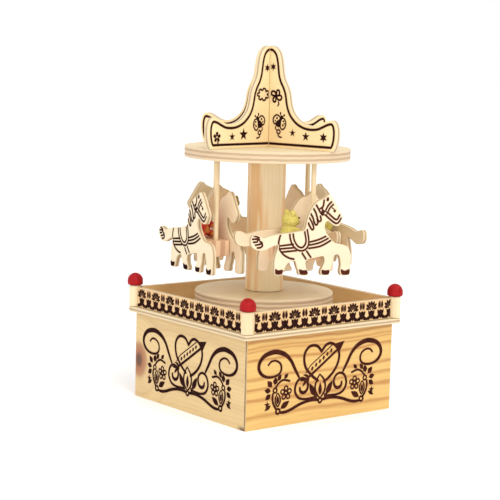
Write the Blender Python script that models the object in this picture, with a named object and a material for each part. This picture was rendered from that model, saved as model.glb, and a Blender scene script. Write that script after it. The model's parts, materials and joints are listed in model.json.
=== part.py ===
"""Carousel music box in wood: a square pine box under a fenced platform, and a turning
carousel of four paired horse boards under a disc and a crossed crown.

The wind-up movement stands on the base board inside the box. Its spring arbor comes up
through the platform and carries the turntable, so the carousel is also the winding key.
Metres, +Z up, origin at the middle of the underside of the box. The front is -Y.
"""

import math

import bmesh
import bpy
from mathutils import Matrix, Vector

MM = 0.001

# Clearances
GLUE_GAP = 0.3 * MM        # between two pieces that touch
RUNNING_GAP = 0.3 * MM     # round a shaft in its bearing, and round a dowel in its hole

# Box
BOX_SIDE = 100 * MM
PANEL_HEIGHT = 47.2 * MM
PANEL_THICKNESS = 7 * MM
BASE_LEDGE = 3.5 * MM      # width of the step that the base board lies in
BASE_THICKNESS = 3 * MM
BASE_RECESS = 1.6 * MM     # the base board sits this far above the foot of the box
BASE_SCREW_REACH = 7 * MM  # into the panel above the base board

# Platform, posts and fences
PLATFORM_OVERHANG = 3.4 * MM
PLATFORM_THICKNESS = 2.7 * MM
PLATFORM_CORNER = 1.6 * MM
PLATFORM_HOLE = 11 * MM
POST_DIAMETER = 6.4 * MM
POST_HEIGHT = 11.6 * MM
POST_INSET = 2.9 * MM      # post axis to platform edge
CAP_DIAMETER = 8.7 * MM
CAP_SKIRT = 2.2 * MM
FENCE_HEIGHT = 10.8 * MM
FENCE_THICKNESS = 2.5 * MM
FENCE_INSET = 0.4 * MM     # middle of the fence inside the line of the post axes

# Carousel
TURNTABLE_DIAMETER = 75.4 * MM
TURNTABLE_THICKNESS = 6 * MM
TURNTABLE_LIFT = 6.4 * MM  # platform top to turntable underside
COLUMN_DIAMETER = 20.6 * MM
COLUMN_HEIGHT = 71.3 * MM
CANOPY_DIAMETER = 89.7 * MM
CANOPY_THICKNESS = 6 * MM
DISC_EDGE_ROUND = 0.5 * MM

# Stations: a pole, a seat block, two horse boards and a rider
STATIONS = ("front", "right", "back", "left")
POLE_ANGLES = {"front": -86.1, "right": 12.3, "back": 102.3, "left": -174.7}   # degrees
HORSE_TURNS = {"front": -14.0, "right": -19.0, "back": -16.9, "left": -12.9}    # on the pole
POLE_CIRCLE = 36.4 * MM         # radius
POLE_DIAMETER = 2.7 * MM
POLE_SOCKET = 3 * MM
SEAT_SOCKET = 5 * MM
BOARD_SPACING = 17.4 * MM       # middle of the outer horse board to middle of the inner
HORSE_THICKNESS = 2.7 * MM
BOARD_SHIFT = 1.7 * MM          # the boards' middle lies this far outside the pole
HOOF_LEVEL = 25.7 * MM          # above the platform
SEAT_LEVEL = 34.0 * MM          # underside of the seat block above the platform
SEAT_HEIGHT = 8.3 * MM
SEAT_AHEAD = 5.6 * MM           # seat block ahead of the pole
SEAT_BEHIND = 22 * MM           # and behind it
RIDER_BEHIND = {"front": 15 * MM, "right": 16 * MM, "back": 13.5 * MM, "left": 12.5 * MM}

# Crown
CROWN_ANGLE = 10.2              # degrees
CROWN_THICKNESS = 3 * MM
CROWN_HEIGHT = 54.2 * MM
CROWN_FOOT = 46 * MM            # half width where the boards stand on the canopy disc
CROWN_REACH = 49 * MM           # half width of the wings
CROWN_TIP = 16.6 * MM           # height of the wing tips
CROWN_NECK = 8.8 * MM           # half width of the tall middle

# Movement
FOOT_HEIGHT = 2.4 * MM
BEDPLATE_THICKNESS = 2 * MM
BEDPLATE_START = -13.5 * MM
BEDPLATE_Y = (-21 * MM, 22 * MM)
BEDPLATE_MARGIN = 0.7 * MM      # beyond the governor's frame
FOOT_DIAMETER = 6 * MM
FOOT_FROM_ENDS = (4.5 * MM, 6 * MM)     # foot axes to the bedplate's two ends
FOOT_FROM_SIDES = 5 * MM                # and to its long sides
ARBOR_DIAMETER = 3 * MM
HOUSING_DIAMETER = 22 * MM
HOUSING_WALL = 1 * MM
HOUSING_DEPTH = 2 * MM          # top of the housing below the crown wheel
SPRING_TURNS = 4
SPRING_STRIP = 0.4 * MM
SPRING_WIDTH = 8 * MM
CROWN_WHEEL_RADIUS = 13.5 * MM  # middle of its teeth
CROWN_WHEEL_TEETH = 28
CYLINDER_PINION_TEETH = 14
CYLINDER_WHEEL_TEETH = 20
GOVERNOR_PINION_TEETH = 10
WORM_WHEEL_TEETH = 12
GOVERNOR_MODULE = 0.72 * MM
WORM_MODULE = 0.8 * MM
WHEEL_WIDTH = 1.8 * MM
WORM_WHEEL_WIDTH = 1 * MM
WHEEL_CLEARANCE = 0.4145 * MM   # under the toothed wheels
CYLINDER_RADIUS = 6.4 * MM
CYLINDER_LENGTH = 15.8 * MM
PIN_HEIGHT = 0.5 * MM
COMB_TEETH = 18
COMB_THICKNESS = 0.8 * MM
COMB_LIFT = 2 * MM              # underside of the comb above the cylinder's axis
HUB_BOSS_RADIUS = 3.6 * MM
HUB_FLANGE_RADIUS = 9 * MM
HUB_FLANGE_THICKNESS = 2 * MM
ARBOR_SHORT = 3 * MM            # arbor's end below the turntable
SHAFT_DIAMETER = 1.6 * MM
FRAME_THICKNESS = 1.2 * MM
FLY_SPAN = 9 * MM
FLY_HEIGHT = 4 * MM
SCREW_DIAMETER = 1.6 * MM
SCREW_HEAD_DIAMETER = 3.2 * MM
SCREW_HEAD_HEIGHT = 0.8 * MM

# Levels and places that follow from the sizes above
BASE_TOP = BASE_RECESS + BASE_THICKNESS
PLATFORM_BOTTOM = PANEL_HEIGHT + GLUE_GAP
PLATFORM_TOP = PLATFORM_BOTTOM + PLATFORM_THICKNESS
PLATFORM_HALF = BOX_SIDE / 2 + PLATFORM_OVERHANG
POST_PLACE = PLATFORM_HALF - POST_INSET
TURNTABLE_BOTTOM = PLATFORM_TOP + TURNTABLE_LIFT
TURNTABLE_TOP = TURNTABLE_BOTTOM + TURNTABLE_THICKNESS
COLUMN_BOTTOM = TURNTABLE_TOP + GLUE_GAP
CANOPY_BOTTOM = COLUMN_BOTTOM + COLUMN_HEIGHT + GLUE_GAP
CANOPY_TOP = CANOPY_BOTTOM + CANOPY_THICKNESS
SEAT_BOTTOM = PLATFORM_TOP + SEAT_LEVEL
SEAT_TOP = SEAT_BOTTOM + SEAT_HEIGHT
HOOF_BOTTOM = PLATFORM_TOP + HOOF_LEVEL
SEAT_WIDTH = BOARD_SPACING - HORSE_THICKNESS - 2 * GLUE_GAP
BEDPLATE_BOTTOM = BASE_TOP + GLUE_GAP + FOOT_HEIGHT
BEDPLATE_TOP = BEDPLATE_BOTTOM + BEDPLATE_THICKNESS
PINION_MODULE = 2 * CROWN_WHEEL_RADIUS / CROWN_WHEEL_TEETH
PINION_RADIUS = PINION_MODULE * CYLINDER_PINION_TEETH / 2
CROWN_TOOTH = 1.65 * PINION_MODULE
TOOTH_TIP = 0.75                # a tooth above its pitch circle, in modules
TOOTH_ROOT = 1.15               # and below it
CYLINDER_REACH = max(
    PINION_RADIUS + TOOTH_TIP * PINION_MODULE,
    GOVERNOR_MODULE * (CYLINDER_WHEEL_TEETH / 2 + TOOTH_TIP),
    CYLINDER_RADIUS + PIN_HEIGHT,
)
CYLINDER_AXIS_Z = BEDPLATE_TOP + CYLINDER_REACH + WHEEL_CLEARANCE
CROWN_WHEEL_BOTTOM = CYLINDER_AXIS_Z + PINION_RADIUS + CROWN_TOOTH / 2
HOUSING_TOP = CROWN_WHEEL_BOTTOM - HOUSING_DEPTH
GOVERNOR_AXIS_Y = GOVERNOR_MODULE * (CYLINDER_WHEEL_TEETH + GOVERNOR_PINION_TEETH) / 2 + 0.1 * MM
CYLINDER_START = CROWN_WHEEL_RADIUS + WHEEL_WIDTH / 2 + 2 * MM
CYLINDER_END = CYLINDER_START + CYLINDER_LENGTH
GOVERNOR_PLANE = CYLINDER_END + 0.4 * MM + WHEEL_WIDTH / 2
WORM_PLANE = GOVERNOR_PLANE + WHEEL_WIDTH / 2 + 0.8 * MM + WORM_WHEEL_WIDTH / 2
WORM_RADIUS = 1.6 * MM
WORM_AXIS_Y = GOVERNOR_AXIS_Y + WORM_MODULE * WORM_WHEEL_TEETH / 2 + WORM_RADIUS + 0.15 * MM
FRAME_PLANE = WORM_PLANE + 3 * MM
BEDPLATE_END = FRAME_PLANE + FRAME_THICKNESS / 2 + BEDPLATE_MARGIN
FEET = (
    (BEDPLATE_START + FOOT_FROM_ENDS[0], BEDPLATE_Y[0] + FOOT_FROM_SIDES),
    (BEDPLATE_START + FOOT_FROM_ENDS[0], BEDPLATE_Y[1] - FOOT_FROM_SIDES),
    (BEDPLATE_END - FOOT_FROM_ENDS[1], BEDPLATE_Y[0] + FOOT_FROM_SIDES),
)

# Horse board outline, in millimetres ahead of the pole and above the hooves.
HORSE_OUTLINE = (
    (-43.4, 18.6), (-42.4, 14.6), (-38.6, 13.6), (-34.6, 14.0), (-27.6, 15.9),
    (-28.4, 10.5), (-29.2, 5.0), (-28.9, 0.9), (-27.8, 0.0), (-24.3, 0.0), (-23.5, 1.6),
    (-21.4, 5.4), (-18.4, 7.5), (-16.8, 7.2), (-16.0, 4.6), (-14.5, 0.8), (-13.4, 0.0),
    (-9.1, 0.0), (-8.4, 1.2), (-10.2, 4.6), (-10.2, 7.2), (-8.6, 8.5), (-0.6, 10.2),
    (0.9, 9.2), (1.0, 6.6), (-0.6, 2.2), (-0.6, 0.6), (0.4, 0.0), (4.0, 0.0), (4.9, 1.2),
    (5.2, 3.6), (6.6, 8.6), (8.8, 11.1), (10.7, 9.4), (11.4, 5.0), (11.2, 2.2),
    (11.4, 0.6), (12.5, 0.0), (16.8, 0.0), (17.4, 1.5), (17.2, 8.6), (15.9, 12.2),
    (13.4, 15.6), (9.6, 16.8), (5.2, 18.6), (1.9, 22.2), (0.8, 27.2), (2.3, 28.8),
    (7.8, 26.0), (9.8, 26.6), (11.9, 30.8), (7.1, 38.2), (3.6, 42.3), (2.4, 42.5),
    (1.3, 40.7), (-3.8, 38.4), (-8.2, 33.3), (-10.3, 27.0), (-11.0, 23.0), (-19.6, 22.1),
    (-30.0, 21.2), (-36.4, 20.0), (-41.0, 21.4), (-42.8, 20.9),
)

# Colour, roughness and metal of each material
LOOKS = {
    "pine_front": ((0.80, 0.55, 0.27), 0.6, 0),
    "pine_side": ((0.75, 0.60, 0.36), 0.6, 0),
    "birch_ply": ((0.80, 0.68, 0.46), 0.6, 0),
    "horse_ply": ((0.84, 0.74, 0.56), 0.6, 0),
    "crown_ply": ((0.86, 0.70, 0.44), 0.6, 0),
    "dowel": ((0.82, 0.62, 0.38), 0.6, 0),
    "seat_wood": ((0.70, 0.42, 0.26), 0.6, 0),
    "red_paint": ((0.62, 0.02, 0.03), 0.35, 0),
    "rider_front": ((0.66, 0.50, 0.10), 0.5, 0),
    "rider_right": ((0.50, 0.42, 0.10), 0.5, 0),
    "rider_back": ((0.52, 0.30, 0.06), 0.5, 0),
    "rider_left": ((0.60, 0.05, 0.04), 0.5, 0),
    "steel": ((0.56, 0.57, 0.58), 0.3, 1),
    "brass": ((0.78, 0.57, 0.22), 0.3, 1),
    "zinc": ((0.50, 0.50, 0.52), 0.45, 1),
}


def clear_scene():
    for obj in list(bpy.data.objects):
        bpy.data.objects.remove(obj)


def material(name, colour, roughness, metallic):
    made = bpy.data.materials.new(name)
    made.use_nodes = True
    shader = made.node_tree.nodes["Principled BSDF"]
    shader.inputs["Base Color"].default_value = (*colour, 1.0)
    shader.inputs["Roughness"].default_value = roughness
    shader.inputs["Metallic"].default_value = metallic
    made.diffuse_color = (*colour, 1.0)
    return made


def make_object(name, bm, look, parent=None, place=Matrix()):
    """Turns a bmesh into a named object, smooth where its faces meet at a small angle."""
    bmesh.ops.recalc_face_normals(bm, faces=bm.faces)
    mesh = bpy.data.meshes.new(name)
    bm.to_mesh(mesh)
    bm.free()
    mesh.shade_smooth()
    mesh.set_sharp_from_angle(angle=math.radians(35))
    if look:
        mesh.materials.append(look)
    obj = bpy.data.objects.new(name, mesh)
    bpy.context.scene.collection.objects.link(obj)
    obj.parent = parent
    obj.matrix_local = place
    return obj


def make_empty(name, place, parent=None):
    obj = bpy.data.objects.new(name, None)
    bpy.context.scene.collection.objects.link(obj)
    obj.parent = parent
    obj.matrix_local = place
    return obj


def boolean(obj, other, operation):
    """Cuts or joins with a helper object, which is then left out of the build."""
    other.hide_render = True
    other.display_type = "WIRE"
    step = obj.modifiers.new(other.name, "BOOLEAN")
    step.operation = operation
    step.solver = "EXACT"
    step.object = other


def cut(obj, *helpers):
    for helper in helpers:
        boolean(obj, helper, "DIFFERENCE")


def join(obj, *helpers):
    for helper in helpers:
        boolean(obj, helper, "UNION")


def shift(x=0.0, y=0.0, z=0.0):
    return Matrix.Translation((x, y, z))


def turn(degrees, axis="Z"):
    return Matrix.Rotation(math.radians(degrees), 4, axis)


def block(low, high):
    """A box between two opposite corners."""
    bm = bmesh.new()
    low, high = Vector(low), Vector(high)
    size = high - low
    place = Matrix.Translation((low + high) / 2) @ Matrix.Diagonal((*size, 1.0))
    bmesh.ops.create_cube(bm, size=1.0, matrix=place)
    return bm


def rod(diameter, low, high, sides=24):
    """An upright round bar."""
    bm = bmesh.new()
    bmesh.ops.create_cone(
        bm, cap_ends=True, segments=sides, radius1=diameter / 2, radius2=diameter / 2,
        depth=high - low, matrix=shift(z=(low + high) / 2),
    )
    return bm


def turned(profile, sides=32):
    """A closed shape of revolution from its (radius, height) profile, both ends on the axis."""
    bm = bmesh.new()
    points = [bm.verts.new((radius, 0.0, height)) for radius, height in profile]
    edges = [bm.edges.new(pair) for pair in zip(points, points[1:])]
    bmesh.ops.spin(
        bm, geom=points + edges, cent=(0, 0, 0), axis=(0, 0, 1), angle=2 * math.pi,
        steps=sides, use_merge=True, use_normal_flip=False,
    )
    bmesh.ops.remove_doubles(bm, verts=bm.verts, dist=1e-6)
    return bm


def flat_shape(outline, low, high):
    """An outline in X and Y, raised from low to high."""
    bm = bmesh.new()
    face = bm.faces.new([bm.verts.new((x, y, low)) for x, y in outline])
    raised = bmesh.ops.extrude_face_region(bm, geom=[face])
    corners = [item for item in raised["geom"] if isinstance(item, bmesh.types.BMVert)]
    bmesh.ops.translate(bm, verts=corners, vec=(0, 0, high - low))
    return bm


def upright_board(outline, thickness):
    """An outline in X and Z as a board of this thickness, its middle plane at Y = 0."""
    bm = flat_shape(outline, -thickness / 2, thickness / 2)
    bmesh.ops.transform(bm, matrix=turn(90, "X"), verts=bm.verts)
    return bm


def disc_profile(diameter, low, high, edge):
    radius = diameter / 2
    return (
        (0, low), (radius - edge, low), (radius, low + edge),
        (radius, high - edge), (radius - edge, high), (0, high),
    )


def gear_outline(teeth, module, phase=0.0):
    """A slim-toothed wheel. Phase is in tooth pitches: at 0 a tooth points along +X."""
    pitch_radius = module * teeth / 2
    steps = (
        (-0.25, pitch_radius - TOOTH_ROOT * module), (-0.09, pitch_radius + TOOTH_TIP * module),
        (0.09, pitch_radius + TOOTH_TIP * module), (0.25, pitch_radius - TOOTH_ROOT * module),
    )
    outline = []
    for tooth in range(teeth):
        for share, radius in steps:
            angle = 2 * math.pi * (tooth + share + phase) / teeth
            outline.append((radius * math.cos(angle), radius * math.sin(angle)))
    return outline


def wheel_on_x(outline, plane, width):
    """A toothed wheel whose axis is X: its outline's X and Y become Y and Z."""
    bm = flat_shape(outline, plane - width / 2, plane + width / 2)
    axes = Matrix(((0, 0, 1, 0), (1, 0, 0, 0), (0, 1, 0, 0), (0, 0, 0, 1)))
    bmesh.ops.transform(bm, matrix=axes, verts=bm.verts)
    return bm


def lying_rod(diameter, low, high, sides=16):
    """A round bar along X."""
    bm = rod(diameter, low, high, sides)
    bmesh.ops.transform(bm, matrix=turn(90, "Y"), verts=bm.verts)
    return bm


def screw(name, look, x, y, thread_bottom, thread_top):
    """A pan-head screw that goes up into the wood from below."""
    head_bottom = thread_bottom - GLUE_GAP - SCREW_HEAD_HEIGHT
    head_top = head_bottom + SCREW_HEAD_HEIGHT
    head = SCREW_HEAD_DIAMETER / 2
    shank = SCREW_DIAMETER / 2
    profile = (
        (0, head_bottom), (0.7 * head, head_bottom), (head, head_bottom + 0.3 * MM),
        (head, head_top), (shank, head_top), (shank, thread_top - shank), (0, thread_top),
    )
    return make_object(name, turned(profile, 16), look, None, shift(x, y))


def screw_hole(name, x, y, low, high):
    return make_object(name, rod(SCREW_DIAMETER + 2 * RUNNING_GAP, low, high, 16), None,
                       None, shift(x, y))


def build_box(looks):
    half = BOX_SIDE / 2
    mitre = GLUE_GAP / math.sqrt(2)
    outer = half - mitre
    inner = half - PANEL_THICKNESS - mitre
    outline = (
        (-outer, -half), (outer, -half),
        (inner, PANEL_THICKNESS - half), (-inner, PANEL_THICKNESS - half),
    )
    ledge = half - PANEL_THICKNESS + BASE_LEDGE
    recess = make_object("base_recess", block(
        (-ledge, -ledge, -PANEL_THICKNESS), (ledge, ledge, BASE_TOP + GLUE_GAP)), None)
    screw_line = half - PANEL_THICKNESS + BASE_LEDGE / 2
    screw_top = BASE_TOP + BASE_SCREW_REACH
    board_half = ledge - GLUE_GAP
    board = make_object("base_board", block(
        (-board_half, -board_half, BASE_RECESS), (board_half, board_half, BASE_TOP)),
        looks["birch_ply"])
    for side, name in enumerate(STATIONS):
        look = looks["pine_front"] if side % 2 == 0 else looks["pine_side"]
        panel = make_object("panel_" + name, flat_shape(outline, 0, PANEL_HEIGHT), look,
                            None, turn(90 * side))
        place = turn(90 * side) @ Vector((0, -screw_line, 0))
        hole = screw_hole("hole_" + name, place.x, place.y, -half, screw_top + GLUE_GAP)
        cut(panel, recess, hole)
        cut(board, hole)
        screw("base_screw_" + name, looks["steel"], place.x, place.y, BASE_RECESS, screw_top)
    return board


def build_platform(looks):
    bm = block((-PLATFORM_HALF, -PLATFORM_HALF, PLATFORM_BOTTOM),
               (PLATFORM_HALF, PLATFORM_HALF, PLATFORM_TOP))
    upright = [edge for edge in bm.edges if abs(edge.verts[0].co.z - edge.verts[1].co.z) > MM]
    bmesh.ops.bevel(bm, geom=upright, offset=PLATFORM_CORNER, segments=3, profile=0.5,
                    affect="EDGES", material=-1)
    platform = make_object("platform", bm, looks["birch_ply"])
    cut(platform, make_object("platform_hole", rod(
        PLATFORM_HOLE, PLATFORM_BOTTOM - MM, PLATFORM_TOP + MM), None))
    fence_half = POST_PLACE - POST_DIAMETER / 2 - GLUE_GAP
    foot = PLATFORM_TOP + GLUE_GAP
    post_high = foot + POST_HEIGHT
    cap_low = post_high + GLUE_GAP
    cap_radius = CAP_DIAMETER / 2
    dome = [
        (cap_radius * math.cos(math.radians(angle)),
         cap_low + CAP_SKIRT + cap_radius * math.sin(math.radians(angle)))
        for angle in (0, 22, 44, 66)
    ]
    cap_profile = [(0, cap_low), (cap_radius - 0.3 * MM, cap_low),
                   (cap_radius, cap_low + 0.4 * MM)] + dome
    cap_profile.append((0, cap_low + CAP_SKIRT + cap_radius))
    corners = ("front_left", "front_right", "back_right", "back_left")
    for side, name in enumerate(STATIONS):
        fence_y = FENCE_INSET - POST_PLACE
        fence = block((-fence_half, fence_y - FENCE_THICKNESS / 2, foot),
                      (fence_half, fence_y + FENCE_THICKNESS / 2, foot + FENCE_HEIGHT))
        make_object("fence_" + name, fence, looks["birch_ply"], None, turn(90 * side))
        place = turn(90 * side) @ shift(-POST_PLACE, -POST_PLACE)
        corner = corners[side]
        make_object("post_" + corner, rod(POST_DIAMETER, foot, post_high, 20),
                    looks["dowel"], None, place)
        make_object("cap_" + corner, turned(cap_profile, 20), looks["red_paint"], None, place)


def build_carousel(looks, axis):
    make_object("turntable", turned(disc_profile(
        TURNTABLE_DIAMETER, TURNTABLE_BOTTOM, TURNTABLE_TOP, DISC_EDGE_ROUND), 64),
        looks["birch_ply"], axis)
    make_object("column", rod(COLUMN_DIAMETER, COLUMN_BOTTOM, COLUMN_BOTTOM + COLUMN_HEIGHT, 40),
                looks["dowel"], axis)
    canopy = make_object("canopy_disc", turned(disc_profile(
        CANOPY_DIAMETER, CANOPY_BOTTOM, CANOPY_TOP, DISC_EDGE_ROUND), 64),
        looks["birch_ply"], axis)
    return canopy


def build_station(looks, axis, canopy, name):
    """One station in its own frame: +X is forward, +Y is towards the column."""
    place = turn(POLE_ANGLES[name]) @ shift(POLE_CIRCLE) @ turn(90 + HORSE_TURNS[name])
    station = make_empty("station_" + name, place, axis)
    socket = make_object("pole_socket_" + name, rod(
        POLE_DIAMETER + 2 * RUNNING_GAP, CANOPY_BOTTOM - MM, CANOPY_BOTTOM + POLE_SOCKET, 16),
        None, station)
    cut(canopy, socket)
    pole_low = SEAT_TOP - SEAT_SOCKET + GLUE_GAP
    pole_high = CANOPY_BOTTOM + POLE_SOCKET - GLUE_GAP
    make_object("pole_" + name, rod(POLE_DIAMETER, pole_low, pole_high, 16),
                looks["dowel"], station)
    seat = make_object("seat_" + name, block(
        (-SEAT_BEHIND, -BOARD_SHIFT - SEAT_WIDTH / 2, SEAT_BOTTOM),
        (SEAT_AHEAD, -BOARD_SHIFT + SEAT_WIDTH / 2, SEAT_TOP)), looks["seat_wood"], station)
    cut(seat, make_object("seat_socket_" + name, rod(
        POLE_DIAMETER + 2 * RUNNING_GAP, SEAT_TOP - SEAT_SOCKET, SEAT_TOP + MM, 16),
        None, station))
    horse = [(x * MM, z * MM) for x, z in HORSE_OUTLINE]
    for side, where in ((-1, "outer"), (1, "inner")):
        board_place = shift(0, side * BOARD_SPACING / 2 - BOARD_SHIFT, HOOF_BOTTOM)
        make_object(f"horse_{where}_{name}", upright_board(horse, HORSE_THICKNESS),
                    looks["horse_ply"], station, board_place)
    build_rider(looks, station, name)


def ellipsoid(centre, radii, sides=10, rings=7):
    bm = bmesh.new()
    place = Matrix.Translation(centre) @ Matrix.Diagonal((*radii, 1.0))
    bmesh.ops.create_uvsphere(bm, u_segments=sides, v_segments=rings, radius=1.0, matrix=place)
    return bm


def build_rider(looks, station, name):
    """A small sitting animal: trunk, head, muzzle, ears, arms and legs."""
    base = shift(-RIDER_BEHIND[name], -BOARD_SHIFT, SEAT_TOP + GLUE_GAP)
    trunk = make_object("rider_" + name, ellipsoid((0, 0, 5.2 * MM), (4.6 * MM, 4.4 * MM, 5.2 * MM)),
                        looks["rider_" + name], station, base)
    limbs = [
        ("head", (0.8, 0, 12.2), (4.2, 4.2, 4.0)),
        ("muzzle", (4.4, 0, 11.2), (2.0, 2.0, 1.6)),
        ("ear_near", (0.4, -3.2, 16.0), (1.3, 1.6, 1.8)),
        ("ear_far", (0.4, 3.2, 16.0), (1.3, 1.6, 1.8)),
        ("arm_near", (3.6, -3.9, 7.2), (3.4, 1.5, 1.5)),
        ("arm_far", (3.6, 3.9, 7.2), (3.4, 1.5, 1.5)),
        ("leg_near", (4.6, -2.9, 1.9), (4.6, 1.9, 1.8)),
        ("leg_far", (4.6, 2.9, 1.9), (4.6, 1.9, 1.8)),
    ]
    for limb, centre, radii in limbs:
        bm = ellipsoid(Vector(centre) * MM, Vector(radii) * MM, 8, 6)
        join(trunk, make_object(f"rider_{limb}_{name}", bm, None, station, base))


def crown_half_outline():
    """Right half of the crown board, from the middle of the top down to the foot.

    Each point is a share of the sizes that it belongs to, so the shape follows them.
    """
    span = CROWN_REACH - CROWN_NECK
    neck = [
        (CROWN_NECK * across, CROWN_HEIGHT * up)
        for across, up in ((0.00, 1.000), (0.45, 0.985), (0.78, 0.945), (0.95, 0.875),
                           (1.00, 0.780))
    ]
    slope = [
        (CROWN_NECK + span * across, CROWN_TIP + (CROWN_HEIGHT - CROWN_TIP) * up)
        for across, up in ((0.045, 0.60), (0.115, 0.50), (0.165, 0.40), (0.185, 0.27),
                           (0.225, 0.13), (0.300, 0.03))
    ]
    valley = [
        (CROWN_NECK + span * across, CROWN_TIP * up)
        for across, up in ((0.39, 0.90), (0.50, 0.83), (0.60, 0.82), (0.70, 0.87),
                           (0.81, 0.97), (0.89, 1.00))
    ]
    wing_end = [
        (CROWN_REACH - 1.4 * MM, CROWN_TIP * 0.93), (CROWN_REACH - 0.2 * MM, CROWN_TIP * 0.74),
        (CROWN_REACH, CROWN_TIP * 0.50), (CROWN_REACH - 0.9 * MM, CROWN_TIP * 0.24),
        (CROWN_FOOT + 0.6 * MM, 0.8 * MM), (CROWN_FOOT - 0.4 * MM, 0),
    ]
    return neck + slope + valley + wing_end


def build_crown(looks, axis):
    half = crown_half_outline()
    outline = half[::-1] + [(-x, z) for x, z in half[1:]]
    slot = CROWN_THICKNESS / 2 + GLUE_GAP
    middle = CROWN_HEIGHT / 2
    boards = (
        ("crown_board_slot_up", 0, middle - GLUE_GAP / 2, CROWN_HEIGHT + MM),
        ("crown_board_slot_down", 90, -MM, middle + GLUE_GAP / 2),
    )
    for name, angle, slot_low, slot_high in boards:
        place = turn(CROWN_ANGLE + angle) @ shift(z=CANOPY_TOP + GLUE_GAP)
        board = make_object(name, upright_board(outline, CROWN_THICKNESS), looks["crown_ply"],
                            axis, place)
        cut(board, make_object("slot_of_" + name, block(
            (-slot, -CROWN_THICKNESS, slot_low), (slot, CROWN_THICKNESS, slot_high)),
            None, axis, place))


def build_bedplate(looks, base_board):
    plate = make_object("movement_bedplate", block(
        (BEDPLATE_START, BEDPLATE_Y[0], BEDPLATE_BOTTOM),
        (BEDPLATE_END, BEDPLATE_Y[1], BEDPLATE_TOP)), looks["zinc"])
    foot_low = BASE_TOP + GLUE_GAP
    comb_top = CYLINDER_AXIS_Z + COMB_LIFT - GLUE_GAP
    lug_low = CROWN_WHEEL_RADIUS + WHEEL_WIDTH / 2 + 0.5 * MM
    comb_block = block((CYLINDER_START, BEDPLATE_Y[0], BEDPLATE_BOTTOM + MM),
                       (CYLINDER_END, BEDPLATE_Y[0] + 6 * MM, comb_top))
    lug = block((lug_low, -2.4 * MM, BEDPLATE_BOTTOM + MM),
                (lug_low + MM, 2.4 * MM, CYLINDER_AXIS_Z + 2.4 * MM))
    join(plate, make_object("comb_block", comb_block, None), make_object("bearing_lug", lug, None))
    for number, (x, y) in enumerate(FEET):
        foot = rod(FOOT_DIAMETER, foot_low, BEDPLATE_BOTTOM + MM, 20)
        join(plate, make_object(f"bedplate_foot_{number}", foot, None, None, shift(x, y)))
    for number, (x, y) in enumerate(FEET):
        tip = BEDPLATE_BOTTOM + 0.4 * MM
        hole = screw_hole(f"bedplate_hole_{number}", x, y, BASE_RECESS - MM, tip + GLUE_GAP)
        cut(plate, hole)
        cut(base_board, hole)
        screw(f"movement_screw_{number + 1}", looks["steel"], x, y, BASE_RECESS, tip)
    bearing = lying_rod(SHAFT_DIAMETER + 2 * RUNNING_GAP, lug_low - MM, lug_low + 2 * MM)
    cut(plate, make_object("lug_bearing", bearing, None, None, shift(z=CYLINDER_AXIS_Z)))


def build_spring(looks):
    """The housing, open towards the bedplate, and the coiled mainspring inside it."""
    low = BEDPLATE_TOP + GLUE_GAP
    radius = HOUSING_DIAMETER / 2
    bore = ARBOR_DIAMETER / 2 + RUNNING_GAP
    housing = make_object("spring_housing", rod(HOUSING_DIAMETER, low, HOUSING_TOP, 40),
                          looks["brass"])
    inside = rod(2 * (radius - HOUSING_WALL), low - MM, HOUSING_TOP - HOUSING_WALL, 40)
    cut(housing, make_object("housing_inside", inside, None),
        make_object("housing_bore", rod(2 * bore, low, HOUSING_TOP + MM, 20), None))
    start = ARBOR_DIAMETER / 2 + 2 * RUNNING_GAP
    growth = radius - HOUSING_WALL - 2 * RUNNING_GAP - SPRING_STRIP - start
    steps = 16 * SPRING_TURNS

    def strip(offset):
        points = []
        for step in range(steps + 1):
            angle = 2 * math.pi * SPRING_TURNS * step / steps
            reach = start + offset + growth * step / steps
            points.append((reach * math.cos(angle), reach * math.sin(angle)))
        return points

    outline = strip(0) + strip(SPRING_STRIP)[::-1]
    spring_low = low + MM
    make_object("mainspring", flat_shape(outline, spring_low, spring_low + SPRING_WIDTH),
                looks["steel"])


def build_crown_wheel(looks, axis):
    """The crown wheel, whose teeth point down, on the arbor that carries the turntable."""
    reach = CROWN_WHEEL_RADIUS + WHEEL_WIDTH / 2 + 0.5 * MM
    thickness = 2 * MM
    arbor_low = BEDPLATE_TOP + 2 * GLUE_GAP
    arbor_high = TURNTABLE_BOTTOM - ARBOR_SHORT
    wheel = make_object("crown_wheel_and_arbor", rod(
        2 * reach, CROWN_WHEEL_BOTTOM, CROWN_WHEEL_BOTTOM + thickness, 56),
        looks["brass"], axis)
    join(wheel, make_object("arbor", rod(ARBOR_DIAMETER, arbor_low, arbor_high, 20), None, axis))
    pitch = 2 * math.pi * CROWN_WHEEL_RADIUS / CROWN_WHEEL_TEETH
    root, tip = 0.21 * pitch, 0.10 * pitch
    tooth_outline = ((-root, 0.3 * MM), (-tip, -CROWN_TOOTH), (tip, -CROWN_TOOTH), (root, 0.3 * MM))
    for number in range(CROWN_WHEEL_TEETH):
        tooth = wheel_on_x(tooth_outline, CROWN_WHEEL_RADIUS, WHEEL_WIDTH + 0.6 * MM)
        place = shift(z=CROWN_WHEEL_BOTTOM) @ turn(360 * number / CROWN_WHEEL_TEETH)
        join(wheel, make_object(f"crown_tooth_{number}", tooth, None, axis, place))
    hub_high = TURNTABLE_BOTTOM - GLUE_GAP
    flange_low = hub_high - HUB_FLANGE_THICKNESS
    hub_low = PLATFORM_BOTTOM - 2 * MM
    hub = make_object("turntable_hub", turned((
        (0, hub_low), (HUB_BOSS_RADIUS, hub_low), (HUB_BOSS_RADIUS, flange_low),
        (HUB_FLANGE_RADIUS, flange_low), (HUB_FLANGE_RADIUS, hub_high), (0, hub_high)), 32),
        looks["brass"], axis)
    cut(hub, make_object("hub_bore", rod(
        ARBOR_DIAMETER + 2 * RUNNING_GAP, hub_low - MM, arbor_high + GLUE_GAP, 20), None, axis))


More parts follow.
